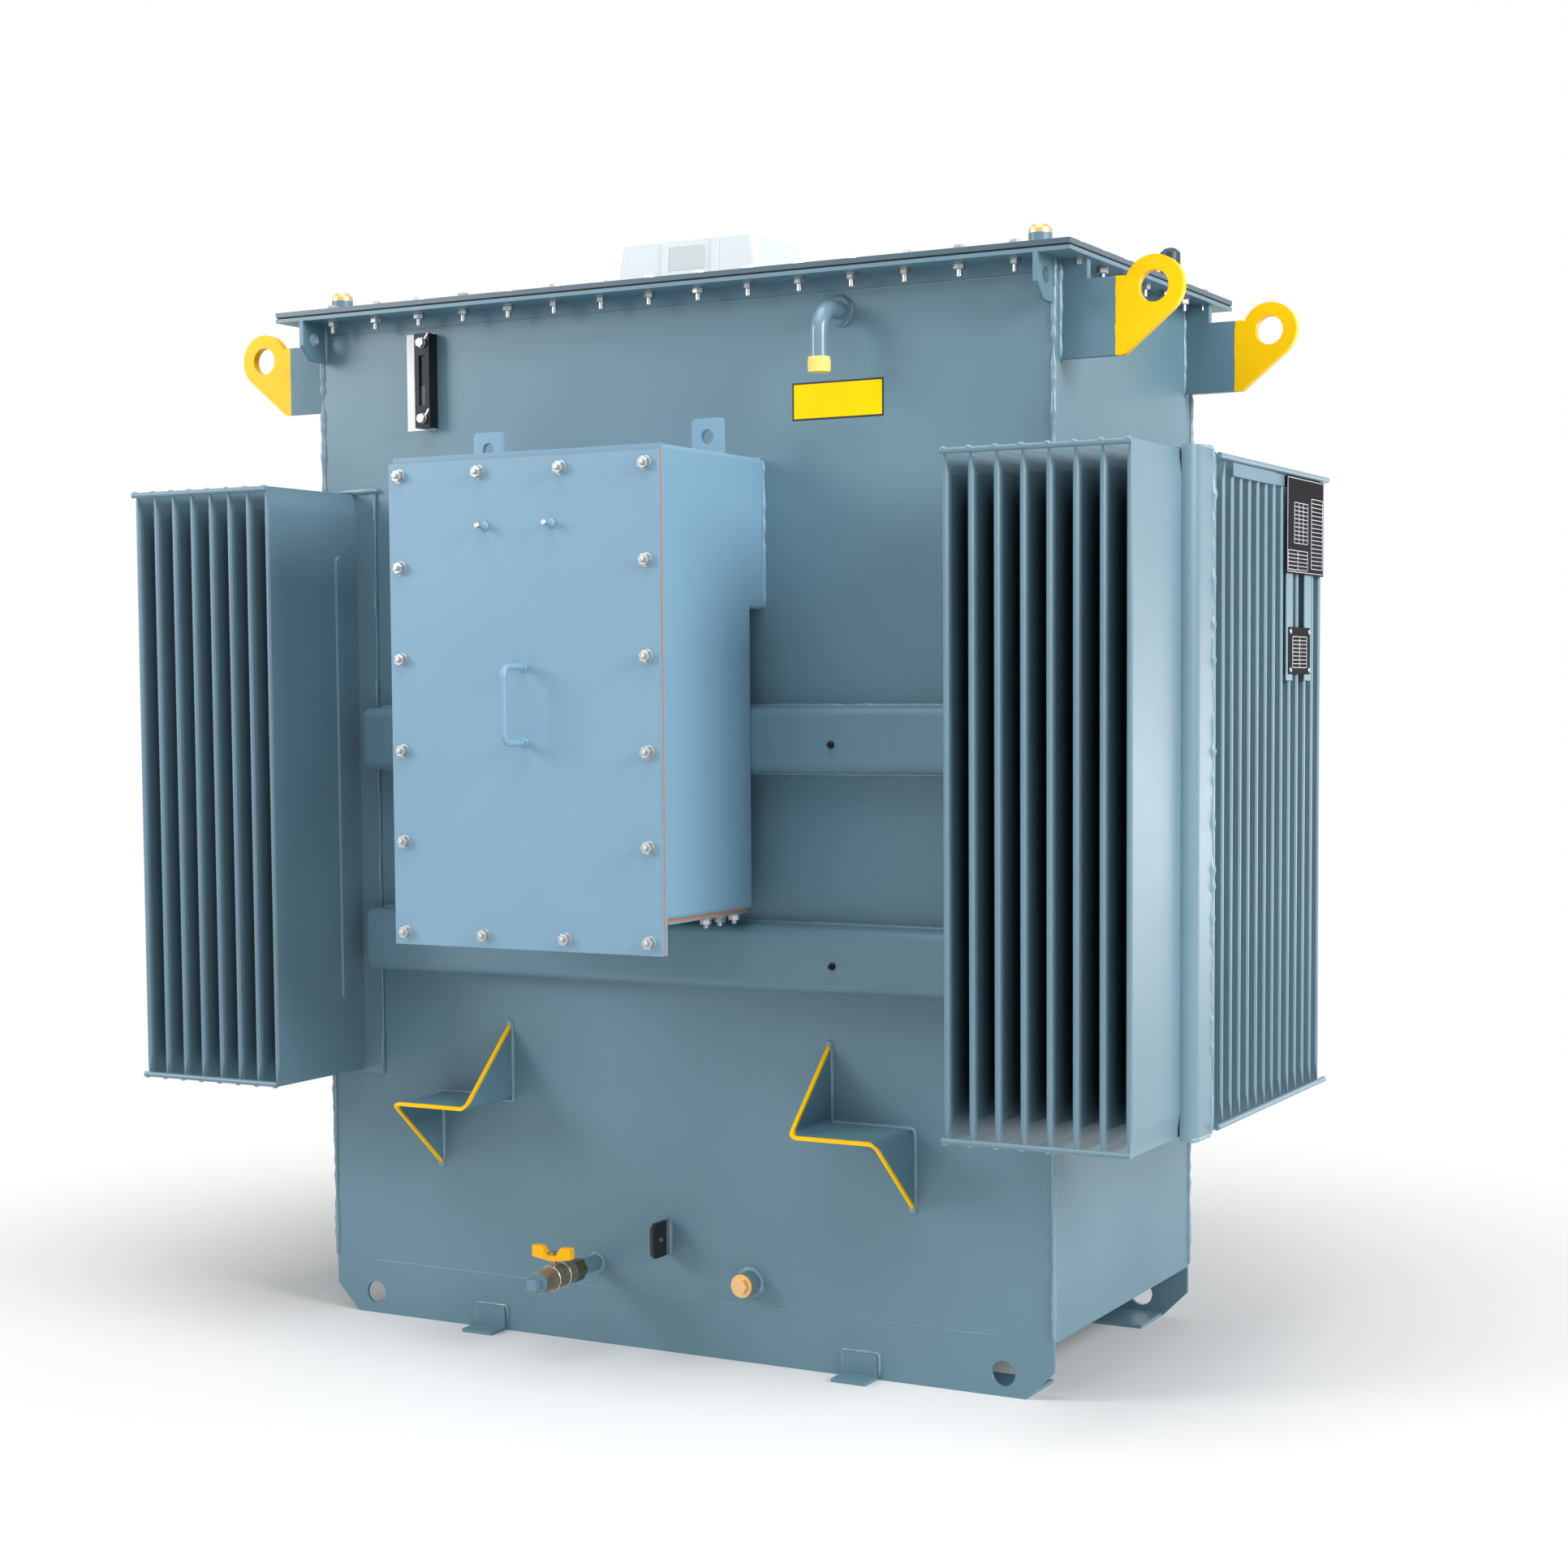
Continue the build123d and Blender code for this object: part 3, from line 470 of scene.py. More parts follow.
def hung(y0, y1, z0, z1, x, thick, corner=2 * MM):
    """A plate facing +X that spans two values of Y and of Z."""
    return plate((x, (y0 + y1) / 2, (z0 + z1) / 2), REAR, UP, (y1 - y0, z1 - z0), thick, corner)


bars = [hung(-0.195, 0.005, 1.403, 1.4235, CARRIER_X + 0.001, BAR_THICK),
        hung(-0.030, 0.100, 1.4045, 1.4235, CARRIER_X - 0.0013, BAR_THICK)]
straps = [hung(y0, y1, 1.100, 1.275, CARRIER_X, BAR_THICK) for y0, y1 in ((0.068, 0.101), (0.163, 0.197))]
add_piece("plate_carrier", *joined(*bars, *straps), tank_paint, "grey_paint", smooth=40)

# Black anodised aluminium: a dry, even satin black
anodised = plain_surface("black_anodised_aluminium", "#1A161B", "#121015", size=0.004, rough=0.6, shine=0.05)
big_plate = hung(0.057, 0.253, 1.2695, 1.4230, BIG_PLATE_X, PLATE_THICK, PLATE_CORNER)
small_plate = hung(0.077, 0.189, 1.110, 1.185, CARRIER_X + BAR_THICK, PLATE_THICK, PLATE_CORNER)
add_piece("bare_plates", *joined(big_plate, small_plate), anodised, "dark_plastic", smooth=40)

# The bright metal shows through where fields are etched, as fine rules
etched = plain_surface("etched_bare_aluminium", "#F4F2F8", "#E2E0E8", size=0.002, rough=0.5)
LEVEL_HALF, UPRIGHT_HALF, RULE_THICK = 0.0009, 0.0010, 0.0004


def rules(x, y0, y1, z0, z1, rows, posts):
    """Level rules and upright rules of a ruled field, evenly spaced between its edges."""
    lines = [(y0, y1, z - LEVEL_HALF, z + LEVEL_HALF) for z in np.linspace(z0, z1, rows)]
    lines += [(y - UPRIGHT_HALF, y + UPRIGHT_HALF, z0, z1) for y in np.linspace(y0, y1, posts)]
    return [hung(*line, x, RULE_THICK, RULE_THICK) for line in lines]


# Each field's span in Y and in Z, and how many level and upright rules it has
big_fields = [(0.060, 0.250, 1.2725, 1.4200, 2, 2), (0.095, 0.165, 1.318, 1.382, 11, 4),
              (0.063, 0.165, 1.276, 1.306, 6, 3), (0.185, 0.245, 1.280, 1.392, 18, 2)]
small_field = (0.096, 0.170, 1.121, 1.170, 9, 3)
etching = [rule for field in big_fields for rule in rules(BIG_FACE_X, *field)]
etching += rules(SMALL_FACE_X, *small_field)
add_piece("plate_rules", *joined(*etching), etched, "dark_plastic", smooth=40)
screw_places = [(SMALL_FACE_X, y, z) for y in (0.084, 0.182) for z in (1.117, 1.178)]
screw = [(4.2 * MM, 0), (4.2 * MM, 0.8 * MM), (3.0 * MM, 1.9 * MM), (1.2 * MM, 2.2 * MM)]
add_piece("plate_screws", *turned(screw, screw_places, RIGHT, 14), zinc, "grey_paint", smooth=40)

# ---- Cable boxes
# A sheet-steel box on a short throat, welded to each long wall, with a cover and a gland plate bolted
# on over cork gaskets. The boxes are sprayed a lighter blue, and the nuts and bolts are zinc plated.

# Light blue-grey enamel: a thick satin film that rounds off the sheet's edges
box_paint = enamel("light_blue_grey_enamel", "#7EA3BA", "#7499B1", rough=0.35, round_off=0.0024)
box_nodes = ["cable_box", "box_cover", "box_handle"]
paint_nodes_of([f"{end}_{kind}" for end in ("front", "rear") for kind in box_nodes], box_paint)
paint_nodes_of(["gland_plates"], box_paint)

# Rubber-bonded cork: warm tan granules about 2 mm across
cork = plain_surface("rubber_bonded_cork", "#CF9068", "#9A6240", size=0.002, rough=0.85, bump=0.3, shine=0.1)
paint_nodes_of(["front_box_gaskets", "rear_box_gaskets"], cork)

COVER_Y, COVER_STUD_XS, COVER_STUD_Z = 624 * MM, (-0.122, 0.0), 1.345
BOX_X, NUT_REACH, NUT_LOW, NUT_HIGH = -57 * MM, 225 * MM, 713.5, 1427.5
HANDLE_X, HANDLE_ZS = -0.055, (1.0125, 1.1285)
THROAT_LEFT, THROAT_RIGHT, THROAT_LOW, THROAT_HIGH, ROOF_Z = -0.303, 0.189, 1.222, 1.455, 1.457
TAB_XS, TAB_YS, TAB_HALF = (-0.2635, 0.1495), (0.401, 0.409), 0.027
nut_x = BOX_X + np.linspace(-NUT_REACH, NUT_REACH, 4)
nut_z = np.linspace(NUT_LOW, NUT_HIGH, 6) * MM
rim = [(x, z) for x in nut_x for z in nut_z if x in (nut_x[0], nut_x[-1]) or z in (nut_z[0], nut_z[-1])]
shank = [(8 * MM, 0), (8.4 * MM, 1.2 * MM), (6.6 * MM, 4 * MM), (5 * MM, 5 * MM), (5 * MM, 15 * MM)]
bare_tip = [(4.6 * MM, 15 * MM), (4.6 * MM, 21 * MM), (3.4 * MM, 23 * MM)]


def around(centre, axis, radius, count=36):
    """Points of a circle about an axis: centre + radius (cos a u + sin a v)."""
    u, v = axes_for(axis)[:2]
    a = 2 * np.pi * np.arange(count)[:, None] / count
    return np.array(centre, float) + radius * (np.cos(a) * u + np.sin(a) * v)


for end, sy in (("front", -1), ("rear", 1)):
    out = (0, sy, 0)
    places = [(x, sy * COVER_Y, z) for x, z in rim]
    nuts = fixings(places, out, 0, flats=17 * MM, radius=11 * MM, thick=2 * MM, head=8.5 * MM, tip=6 * MM)
    add_piece(f"{end}_cover_nuts", *nuts, zinc, "grey_paint", smooth=25)
    # Two welded studs, painted with the cover except for their bare tips, and the handle's two feet
    at = [(x, sy * COVER_Y, COVER_STUD_Z) for x in COVER_STUD_XS]
    shanks = turned(shank, at, out, 16)
    feet = [bead(around((HANDLE_X, sy * COVER_Y, z), out, 6 * MM, 20), out, 3 * MM, closed=True)
            for z in HANDLE_ZS]
    throat = [bead(upright(x, sy * HALF_D, THROAT_LOW, THROAT_HIGH), out, 3.6 * MM, swell=0.5)
              for x in (THROAT_LEFT, THROAT_RIGHT)]
    roof = bead(across(THROAT_LEFT, THROAT_RIGHT, sy * HALF_D, ROOF_Z), out, 3.2 * MM)
    tabs = [bead(across(x - TAB_HALF, x + TAB_HALF, sy * y, ROOF_Z), UP, 2.2 * MM)
            for x in TAB_XS for y in TAB_YS]
    welds = joined(shanks, *feet, *throat, roof, *tabs)
    add_piece(f"{end}_box_welds", *welds, box_paint, "grey_paint", smooth=50)
    tips = turned(bare_tip, at, out, 16)
    add_piece(f"{end}_cover_studs", *tips, zinc, "grey_paint", smooth=30)

# Bolts that hold the gland plate up against its cork sheet, along both of its ends
GLAND_UNDER, GLAND_XS, GLAND_YS = 739 * MM, (-0.290, 0.176), (0.382, 0.428, 0.471)
gland_places = [(x, sy * y, 0) for sy in (-1, 1) for x in GLAND_XS for y in GLAND_YS]
gland_nuts = fixings(gland_places, DOWN, -GLAND_UNDER, flats=16 * MM, radius=11 * MM, thick=1.6 * MM,
                     head=8 * MM, tip=6 * MM)
add_piece("gland_bolts", *gland_nuts, zinc, "grey_paint", smooth=25)

# ---- Lifting lugs, tie-down plates and foot cleats
# Flame-cut steel plate: lugs welded to the side walls, tie-down plates to the tops of the long walls
# and small cleats to the skirt's foot. All are sprayed with the tank, and the lugs' outer ends are
# then dipped in yellow safety enamel past a line.
YELLOW_FROM, WAVER = 774 * MM, 0.004


def two_tone(name, split):
    """Blue-grey enamel that turns to yellow where split, a function that adds nodes, gives 1."""
    material, tree, place = new_material(name)
    tint, bump, gloss = enamel_nodes(tree, place, TANK_LIGHT, TANK_DARK, rough=0.38)
    mask = split(tree, place)
    both = add_node(tree, "ShaderNodeMix", {"data_type": "RGBA", 7: linear("#FFC800")},
                    {0: mask, 6: tint.outputs[2]})
    shader = add_node(tree, "ShaderNodeBsdfPrincipled", {"Specular IOR Level": 0.2},
                      {"Base Color": both.outputs[2], "Roughness": gloss.outputs[0],
                       "Normal": bump.outputs[0]})
    finish_surface(tree, shader)
    return material


def beyond_line(tree, place):
    """1 where |X| lies past the paint line, which wavers by about 2 mm."""
    parts = add_node(tree, "ShaderNodeSeparateXYZ", None, {0: place})
    size = add_node(tree, "ShaderNodeMath", {"operation": "ABSOLUTE"}, {0: parts.outputs["X"]})
    waver = add_node(tree, "ShaderNodeTexNoise", {"Scale": 60.0}, {"Vector": place})
    edge = add_node(tree, "ShaderNodeMath",
                    {"operation": "MULTIPLY_ADD", 1: WAVER, 2: YELLOW_FROM - WAVER / 2},
                    {0: waver.outputs["Fac"]})
    past = add_node(tree, "ShaderNodeMath", {"operation": "GREATER_THAN"},
                    {0: size.outputs[0], 1: edge.outputs[0]})
    return past.outputs[0]


# Dipped yellow enamel, flat and strong in colour, over the tank's own paint
lug_paint = two_tone("yellow_dipped_enamel", beyond_line)
paint_nodes_of(["front_lifting_lugs", "rear_lifting_lugs"], lug_paint)
paint_nodes_of(["tie_down_plates", "foot_cleats"], tank_paint)
LUG_Y, LUG_LOW, LUG_HALF = 272 * MM, 1582 * MM, 7 * MM
TIE_XS, TIE_LOW = (0.676, 0.686), 1.663
CLEAT_X, CLEAT_HALF, CLEAT_LOW, CLEAT_HIGH = 0.355, 0.032, 0.006, 0.042
lug_beads = [bead(upright(HALF_W, -LUG_Y + s * LUG_HALF, LUG_LOW, FLANGE_UNDER), RIGHT, 5 * MM, swell=0.4)
             for s in (-1, 1)]
lug_toe = bead(along((HALF_W, -LUG_Y - LUG_HALF, LUG_LOW), (HALF_W, -LUG_Y + LUG_HALF, LUG_LOW),
                     pitch=3 * MM), RIGHT, 5.5 * MM, swell=0.2)
tie_beads = [bead(upright(x, -HALF_D, TIE_LOW, FLANGE_UNDER), FRONT, 4 * MM, swell=0.4) for x in TIE_XS]
cleat_beads = [
    bead(along((x - CLEAT_HALF, -HALF_D, CLEAT_LOW), (x - CLEAT_HALF, -HALF_D, CLEAT_HIGH),
               (x + CLEAT_HALF, -HALF_D, CLEAT_HIGH), (x + CLEAT_HALF, -HALF_D, CLEAT_LOW)), FRONT, 3 * MM)
    for x in (-CLEAT_X, CLEAT_X)
]
add_piece("lug_and_tie_welds", *both_sides(front_and_rear(*lug_beads, lug_toe, *tie_beads)),
          weld_paint_with_painted_highlight, "grey_paint", smooth=60)
add_piece("foot_cleat_welds", *front_and_rear(*cleat_beads), weld_paint_with_painted_highlight, "grey_paint", smooth=60)

# ---- Step brackets
# Two footholds low on the front wall, each one strip of steel plate bent to a Z and welded on edge.
# They are painted with the tank, and their cut front edges are picked out in yellow.
STEP_TOP, STEP_TREAD, STEP_LOW, STEP_REACH, STEP_HALF = 0.530, 0.401, 0.277, 0.135, 0.003
STEP_IN, STEP_OUT, EDGE_BAND = 0.309, 0.455, 0.006


def front_edge(tree, place):
    """1 within a few millimetres of the cut edge, whose Y is the larger of two straight lines in Z."""
    parts = add_node(tree, "ShaderNodeSeparateXYZ", None, {0: place})
    up = STEP_REACH / (STEP_TOP - STEP_TREAD - STEP_HALF)
    down = STEP_REACH / (STEP_TREAD - STEP_HALF - STEP_LOW)
    above = add_node(tree, "ShaderNodeMath",
                     {"operation": "MULTIPLY_ADD", 1: up, 2: -HALF_D - up * STEP_TOP},
                     {0: parts.outputs["Z"]})
    below = add_node(tree, "ShaderNodeMath",
                     {"operation": "MULTIPLY_ADD", 1: -down, 2: -HALF_D + down * STEP_LOW},
                     {0: parts.outputs["Z"]})
    edge = add_node(tree, "ShaderNodeMath", {"operation": "MAXIMUM"},
                    {0: above.outputs[0], 1: below.outputs[0]})
    gap = add_node(tree, "ShaderNodeMath", {"operation": "SUBTRACT"},
                   {0: parts.outputs["Y"], 1: edge.outputs[0]})
    near = add_node(tree, "ShaderNodeMath", {"operation": "LESS_THAN", 1: EDGE_BAND}, {0: gap.outputs[0]})
    return near.outputs[0]


# The same two enamels, the yellow a narrow band along the cut edge
paint_nodes_of(["step_brackets"], two_tone("enamel_with_yellow_edges", front_edge))

# A bead on both faces of each strip, and a lump of weld over each of its ends
RIGHT_SHIFT, BEAD_OFF = -0.007, 0.004
lump = [(7 * MM, 0), (6.4 * MM, 2.5 * MM), (4 * MM, 5 * MM), (1.5 * MM, 6 * MM)]
step_beads = []
for side, shift in ((1, RIGHT_SHIFT), (-1, 0)):
    for off in (-BEAD_OFF, BEAD_OFF):
        corners = [(STEP_IN + off, STEP_TOP - BEAD_OFF), (STEP_IN + off, STEP_TREAD + off),
                   (STEP_OUT + off, STEP_TREAD + off), (STEP_OUT + off, STEP_LOW + 0.002)]
        path = along(*[(side * x + shift, -HALF_D, z) for x, z in corners])
        step_beads.append(bead(path, FRONT, 3.6 * MM))
    ends = [(side * STEP_IN + shift, -HALF_D, STEP_TOP), (side * STEP_OUT + shift, -HALF_D, STEP_LOW)]
    step_beads.append(turned(lump, ends, FRONT, 14))
add_piece("step_welds", *joined(*step_beads), weld_paint_with_painted_highlight, "grey_paint", smooth=60)

# ---- Oil level gauge
# A black moulded body with a sight glass down its middle, held on the front wall by two zinc-plated
# bolts over a white laminate strip. A small white pointer stands beside each bolt.
GAUGE_X, GAUGE_FACE, GAUGE_BOLT_ZS = -0.455, -0.326, (1.6805, 1.5535)
STRIP_MIDDLE, GLASS_Y, GLASS_Z, OIL_LEVEL = (-0.473, -HALF_D, 1.6175), -0.320, 1.617, 1.609

# Moulded ABS, black with a soft shine
gauge_black = plain_surface("black_moulded_abs", "#14171B", "#0D0F12", size=0.0015, rough=0.4, shine=0.25)
paint_nodes_of(["oil_level_gauge"], gauge_black)

# White laminate, clean and even
white_card = plain_surface("white_laminate", "#FFFFFF", "#F8F8F8", size=0.01, rough=0.5)
strip = plate(STRIP_MIDDLE, RIGHT, UP, (0.060, 0.163), 0.5 * MM, 1 * MM, 0.1 * MM)
add_piece("gauge_backing", *strip, white_card, "gauge_plastic")


def glass_finish(level):
    """Dark sight glass: green-black above the oil's level, grey below it, with a bright glass film."""
    material, tree, place = new_material("oil_sight_glass")
    parts = add_node(tree, "ShaderNodeSeparateXYZ", None, {0: place})
    under = add_node(tree, "ShaderNodeMath", {"operation": "LESS_THAN", 1: level}, {0: parts.outputs["Z"]})
    smear = add_node(tree, "ShaderNodeTexNoise", {"Scale": 90.0, "Detail": 3.0}, {"Vector": place})
    empty = add_node(tree, "ShaderNodeMix", {"data_type": "RGBA", 6: linear("#2E4A40"), 7: linear("#14201D")},
                     {0: smear.outputs["Fac"]})
    both = add_node(tree, "ShaderNodeMix", {"data_type": "RGBA", 7: linear("#5D6E7A")},
                    {0: under.outputs[0], 6: empty.outputs[2]})
    shader = add_node(tree, "ShaderNodeBsdfPrincipled", {"Roughness": 0.08, "IOR": 1.5},
                      {"Base Color": both.outputs[2]})
    finish_surface(tree, shader)
    return material


window = plate((GAUGE_X, GLASS_Y, GLASS_Z), RIGHT, UP, (0.0118, 0.0838), 1.5 * MM, 1.5 * MM, 0.5 * MM)
add_piece("gauge_window", *window, glass_finish(OIL_LEVEL), "gauge_plastic")
gauge_bolts = fixings([(GAUGE_X, GAUGE_FACE, z) for z in GAUGE_BOLT_ZS], FRONT, 0,
                      flats=15 * MM, radius=9 * MM, thick=1.5 * MM, head=6 * MM, tip=0)
add_piece("gauge_bolts", *gauge_bolts, zinc, "gauge_plastic", smooth=25)
POINTER_X, POINTER_UP, SLANT = -0.4455, 0.0105, 0.95
slant_u, slant_v = (math.cos(SLANT), 0, math.sin(SLANT)), (-math.sin(SLANT), 0, math.cos(SLANT))
pointers = [plate((POINTER_X, GAUGE_FACE, z + POINTER_UP), slant_u, slant_v, (0.013, 0.0032),
                  0.4 * MM, 1.2 * MM, 0.2 * MM) for z in GAUGE_BOLT_ZS]
add_piece("gauge_pointers", *joined(*pointers), white_card, "gauge_plastic")

# ---- Breather
# A steel pipe bent downwards and welded through the front wall, painted with the tank. A pale yellow
# moulded cap with small grip ribs round its lower edge is pushed over its end.

# The tank's enamel on a small round piece, where it runs smooth and shiny, its colour painted a little
# lighter as the light it catches
pipe_paint_painted_lighter = enamel("blue_grey_enamel_on_pipe_painted_lighter", "#6F8C9C", "#62808F", rough=0.2)
paint_nodes_of(["breather_pipe"], pipe_paint_painted_lighter)

# Moulded polythene: a milky pale yellow with little shine
cap_yellow = plain_surface("pale_yellow_polythene", "#F3E083", "#EAD468", size=0.004, rough=0.5)
paint_nodes_of(["breather_cap"], cap_yellow)
BREATHER_AT, CAP_AT, CAP_LOW = (0.328, -0.302, 1.677), (0.328, -0.373), 1.576
GRIPS, GRIP_RADIUS, GRIP_HEIGHTS = 28, 17 * MM, (0.003, 0.008, 0.014, 0.019)
collar_bead = bead(around(BREATHER_AT, FRONT, 21 * MM), FRONT, 3.4 * MM, closed=True, swell=0.5)
add_piece("breather_weld", *collar_bead, pipe_paint_painted_lighter, "grey_paint", smooth=60)
grips = []
for a in 2 * np.pi * np.arange(GRIPS) / GRIPS:
    x, y = CAP_AT[0] + GRIP_RADIUS * math.cos(a), CAP_AT[1] + GRIP_RADIUS * math.sin(a)
    path = [(x, y, CAP_LOW + h) for h in GRIP_HEIGHTS]
    grips.append(bead(path, (math.cos(a), math.sin(a), 0), 0.9 * MM, swell=0, sides=5))
add_piece("breather_cap_grips", *joined(*grips), cap_yellow, "yellow_plastic", smooth=60)

# ---- Bosses, plugs and relief valve
# Threaded steel necks on the lid and low on the front wall, welded on and painted with the tank, with
# turned brass plugs screwed in. A dark moulded relief valve stands at the lid's rear corner.

# Turned brass, pale where it is bright
brass = plain_surface("turned_brass", "#F2CF9A", "#DDB074", size=0.004, rough=0.38, metallic=0.85)
paint_nodes_of(["brass_plugs"], brass)
paint_nodes_of(["threaded_bosses"], tank_paint)
NECK_X, NECK_Y, SIDE_BOSS_AT = 0.655, -0.281, (0.155, -HALF_D, 0.132)
boss_beads = [bead(around((x, NECK_Y, LID_TOP), UP, 18 * MM), UP, 2.6 * MM, closed=True)
              for x in (NECK_X, -NECK_X)]
boss_beads.append(bead(around(SIDE_BOSS_AT, FRONT, 21 * MM), FRONT, 5 * MM, closed=True, swell=0.35))
add_piece("boss_welds", *joined(*boss_beads), weld_paint_with_painted_highlight, "grey_paint", smooth=60)

# Moulded nylon, a dull blue-black
relief_dark = plain_surface("dark_blue_grey_nylon", "#2F3A46", "#222B35", size=0.003, rough=0.4)
paint_nodes_of(["pressure_relief_valve"], relief_dark)

# ---- Relay box
# A pale moulded polycarbonate case that stands on the lid. Its front leans back a little, with a
# raised rib on either side of a bare panel of label film.
RELAY_FRONT, LEAN = -0.160, 0.08
LABEL_X, LABEL_Z, LABEL_SIZE = -0.035, 1.811, (0.072, 0.040)

# Moulded polycarbonate, a smooth pale grey
relay_white = plain_surface("pale_grey_polycarbonate", "#DBE2E5", "#D0D8DB", size=0.002, rough=0.42)
paint_nodes_of(["relay_box"], relay_white)

# Silvered label film, a little darker than the case
label_paper = plain_surface("silver_grey_label_film", "#C9CED1", "#BEC4C8", size=0.003, rough=0.4)
lean_v = np.array((0, LEAN, 1.0)) / math.hypot(LEAN, 1)
label = plate((LABEL_X, RELAY_FRONT + LEAN * (LABEL_Z - LID_TOP), LABEL_Z), RIGHT, lean_v, LABEL_SIZE,
              0.4 * MM, 2 * MM, 0.1 * MM)
add_piece("relay_bare_label", *label, label_paper, "pale_plastic")

# ---- Drain valve
# A steel pipe stub welded to the front wall, a nickel-plated brass ball valve screwed onto it and a
# square-headed plug in the valve's mouth. The stub and the plug are painted with the tank, and the
# butterfly handle is powder coated.
paint_nodes_of(["drain_stub", "drain_plug"], tank_paint)
HEX_END, STUB_AT, RING_YS = -0.385, (-0.141, -HALF_D, 0.136), (-0.4105, -0.4425)


def valve_finish():
    """Nickel-plated brass, dull with handling, and an olive tarnish on the hexagon next to the stub."""
    material, tree, place = new_material("nickel_plated_brass")
    parts = add_node(tree, "ShaderNodeSeparateXYZ", None, {0: place})
    hexagon_part = add_node(tree, "ShaderNodeMath", {"operation": "GREATER_THAN", 1: HEX_END},
                            {0: parts.outputs["Y"]})
    dirt = add_node(tree, "ShaderNodeTexNoise", {"Scale": 160.0, "Detail": 4.0}, {"Vector": place})
    plated = add_node(tree, "ShaderNodeMix",
                      {"data_type": "RGBA", 6: linear("#B5AA98"), 7: linear("#7E705C")},
                      {0: dirt.outputs["Fac"]})
    both = add_node(tree, "ShaderNodeMix", {"data_type": "RGBA", 7: linear("#6F6B4C")},
                    {0: hexagon_part.outputs[0], 6: plated.outputs[2]})
    dull = add_node(tree, "ShaderNodeMapRange", {"To Min": 0.26, "To Max": 0.42},
                    {"Value": dirt.outputs["Fac"]})
    shader = add_node(tree, "ShaderNodeBsdfPrincipled", {"Metallic": 0.8},
                      {"Base Color": both.outputs[2], "Roughness": dull.outputs[0]})
    finish_surface(tree, shader)
    return material


paint_nodes_of(["drain_valve"], valve_finish())
stub_bead = bead(around(STUB_AT, FRONT, 14.5 * MM), FRONT, 4.5 * MM, closed=True, swell=0.45)
add_piece("drain_stub_weld", *stub_bead, weld_paint_with_painted_highlight, "grey_paint", smooth=60)

# Two raised rings on the valve's body, paler and glossier than the rest
bright_nickel = plain_surface("paler_nickel_ring", "#E4DFD6", "#CFC8BC", size=0.003, rough=0.22,
                              metallic=0.9)
rings = [bead(around((STUB_AT[0], y, STUB_AT[2]), REAR, 21 * MM), REAR, 0.9 * MM, closed=True,
              swell=0.0, sides=6) for y in RING_YS]
add_piece("valve_bright_rings", *joined(*rings), bright_nickel, "plated_brass", smooth=60)

# Powder coat, a warm yellow with a faint texture
handle_yellow = plain_surface("yellow_powder_coat", "#FFBE12", "#F5AE0A", size=0.003, rough=0.45, shine=0.2)
paint_nodes_of(["drain_handle"], handle_yellow)

# ---- Earthing plate
# A small steel plate with a bolt hole, welded on edge to the front wall. It is sprayed with the tank
# at its root, and its outer part is masked off and left as dark bare steel.
EARTH_MASK, EARTH_XS, EARTH_LOW, EARTH_HIGH = 312 * MM, (-0.0045, 0.0045), 0.163, 0.223


def earth_finish():
    """Blue-grey enamel at the root and dark bare steel beyond the masking line."""
    material, tree, place = new_material("masked_earthing_plate")
    parts = add_node(tree, "ShaderNodeSeparateXYZ", None, {0: place})
    past = add_node(tree, "ShaderNodeMath", {"operation": "LESS_THAN", 1: -EARTH_MASK},
                    {0: parts.outputs["Y"]})
    both = add_node(tree, "ShaderNodeMix", {"data_type": "RGBA", 6: linear("#657F8D"), 7: linear("#1C2024")},
                    {0: past.outputs[0]})
    shader = add_node(tree, "ShaderNodeBsdfPrincipled", {"Roughness": 0.45}, {"Base Color": both.outputs[2]})
    finish_surface(tree, shader)
    return material


paint_nodes_of(["earthing_plate"], earth_finish())
earth_beads = [bead(upright(x, -HALF_D, EARTH_LOW, EARTH_HIGH), FRONT, 4 * MM) for x in EARTH_XS]
add_piece("earthing_plate_weld", *joined(*earth_beads), weld_paint_with_painted_highlight, "grey_paint", smooth=60)

# ---- Sticker
# A yellow vinyl sticker with a thin black border, left bare. It is stuck on the front wall, and built
# as a black film with a slightly smaller yellow one on top.
STICKER_X, STICKER_Z, BORDER_SIZE, FACE_SIZE = 0.323, 1.5415, (0.160, 0.059), (0.154, 0.053)

# Black vinyl film, flat and even
vinyl_black = plain_surface("black_vinyl_film", "#1A1A18", "#121210", size=0.01, rough=0.45)
border = plate((STICKER_X, -HALF_D, STICKER_Z), RIGHT, UP, BORDER_SIZE, 0.35 * MM, 1 * MM, 0.1 * MM)
add_piece("sticker_border", *border, vinyl_black, "grey_paint")

# Yellow vinyl film, strong in colour and dry
vinyl_yellow = plain_surface("yellow_vinyl_film", "#FFE000", "#FFD800", size=0.05, rough=0.4, shine=0.1)
face = plate((STICKER_X, -HALF_D - 0.3 * MM, STICKER_Z), RIGHT, UP, FACE_SIZE, 0.3 * MM, 0.6 * MM, 0.1 * MM)
add_piece("sticker_face", *face, vinyl_yellow, "grey_paint")

# ---- Studio: floor, light and camera
# A plain pale floor under soft lamps, and a camera where the photograph was taken from. The floor
# shows the object's shadow near it, and turns into the white background a few metres out.
FLOOR, BLEND_FROM, BLEND_TO, AMBIENT = 60.0, 0.9, 2.2, 0.36


def seen_or_mirrored(tree):
    """1 for rays from the camera, for mirrored rays and for rays through glass, otherwise 0."""
    rays = add_node(tree, "ShaderNodeLightPath").outputs
    one = add_node(tree, "ShaderNodeMath", {"operation": "MAXIMUM"},
                   {0: rays["Is Camera Ray"], 1: rays["Is Glossy Ray"]})
    return add_node(tree, "ShaderNodeMath", {"operation": "MAXIMUM"},
                    {0: one.outputs[0], 1: rays["Is Transmission Ray"]}).outputs[0]


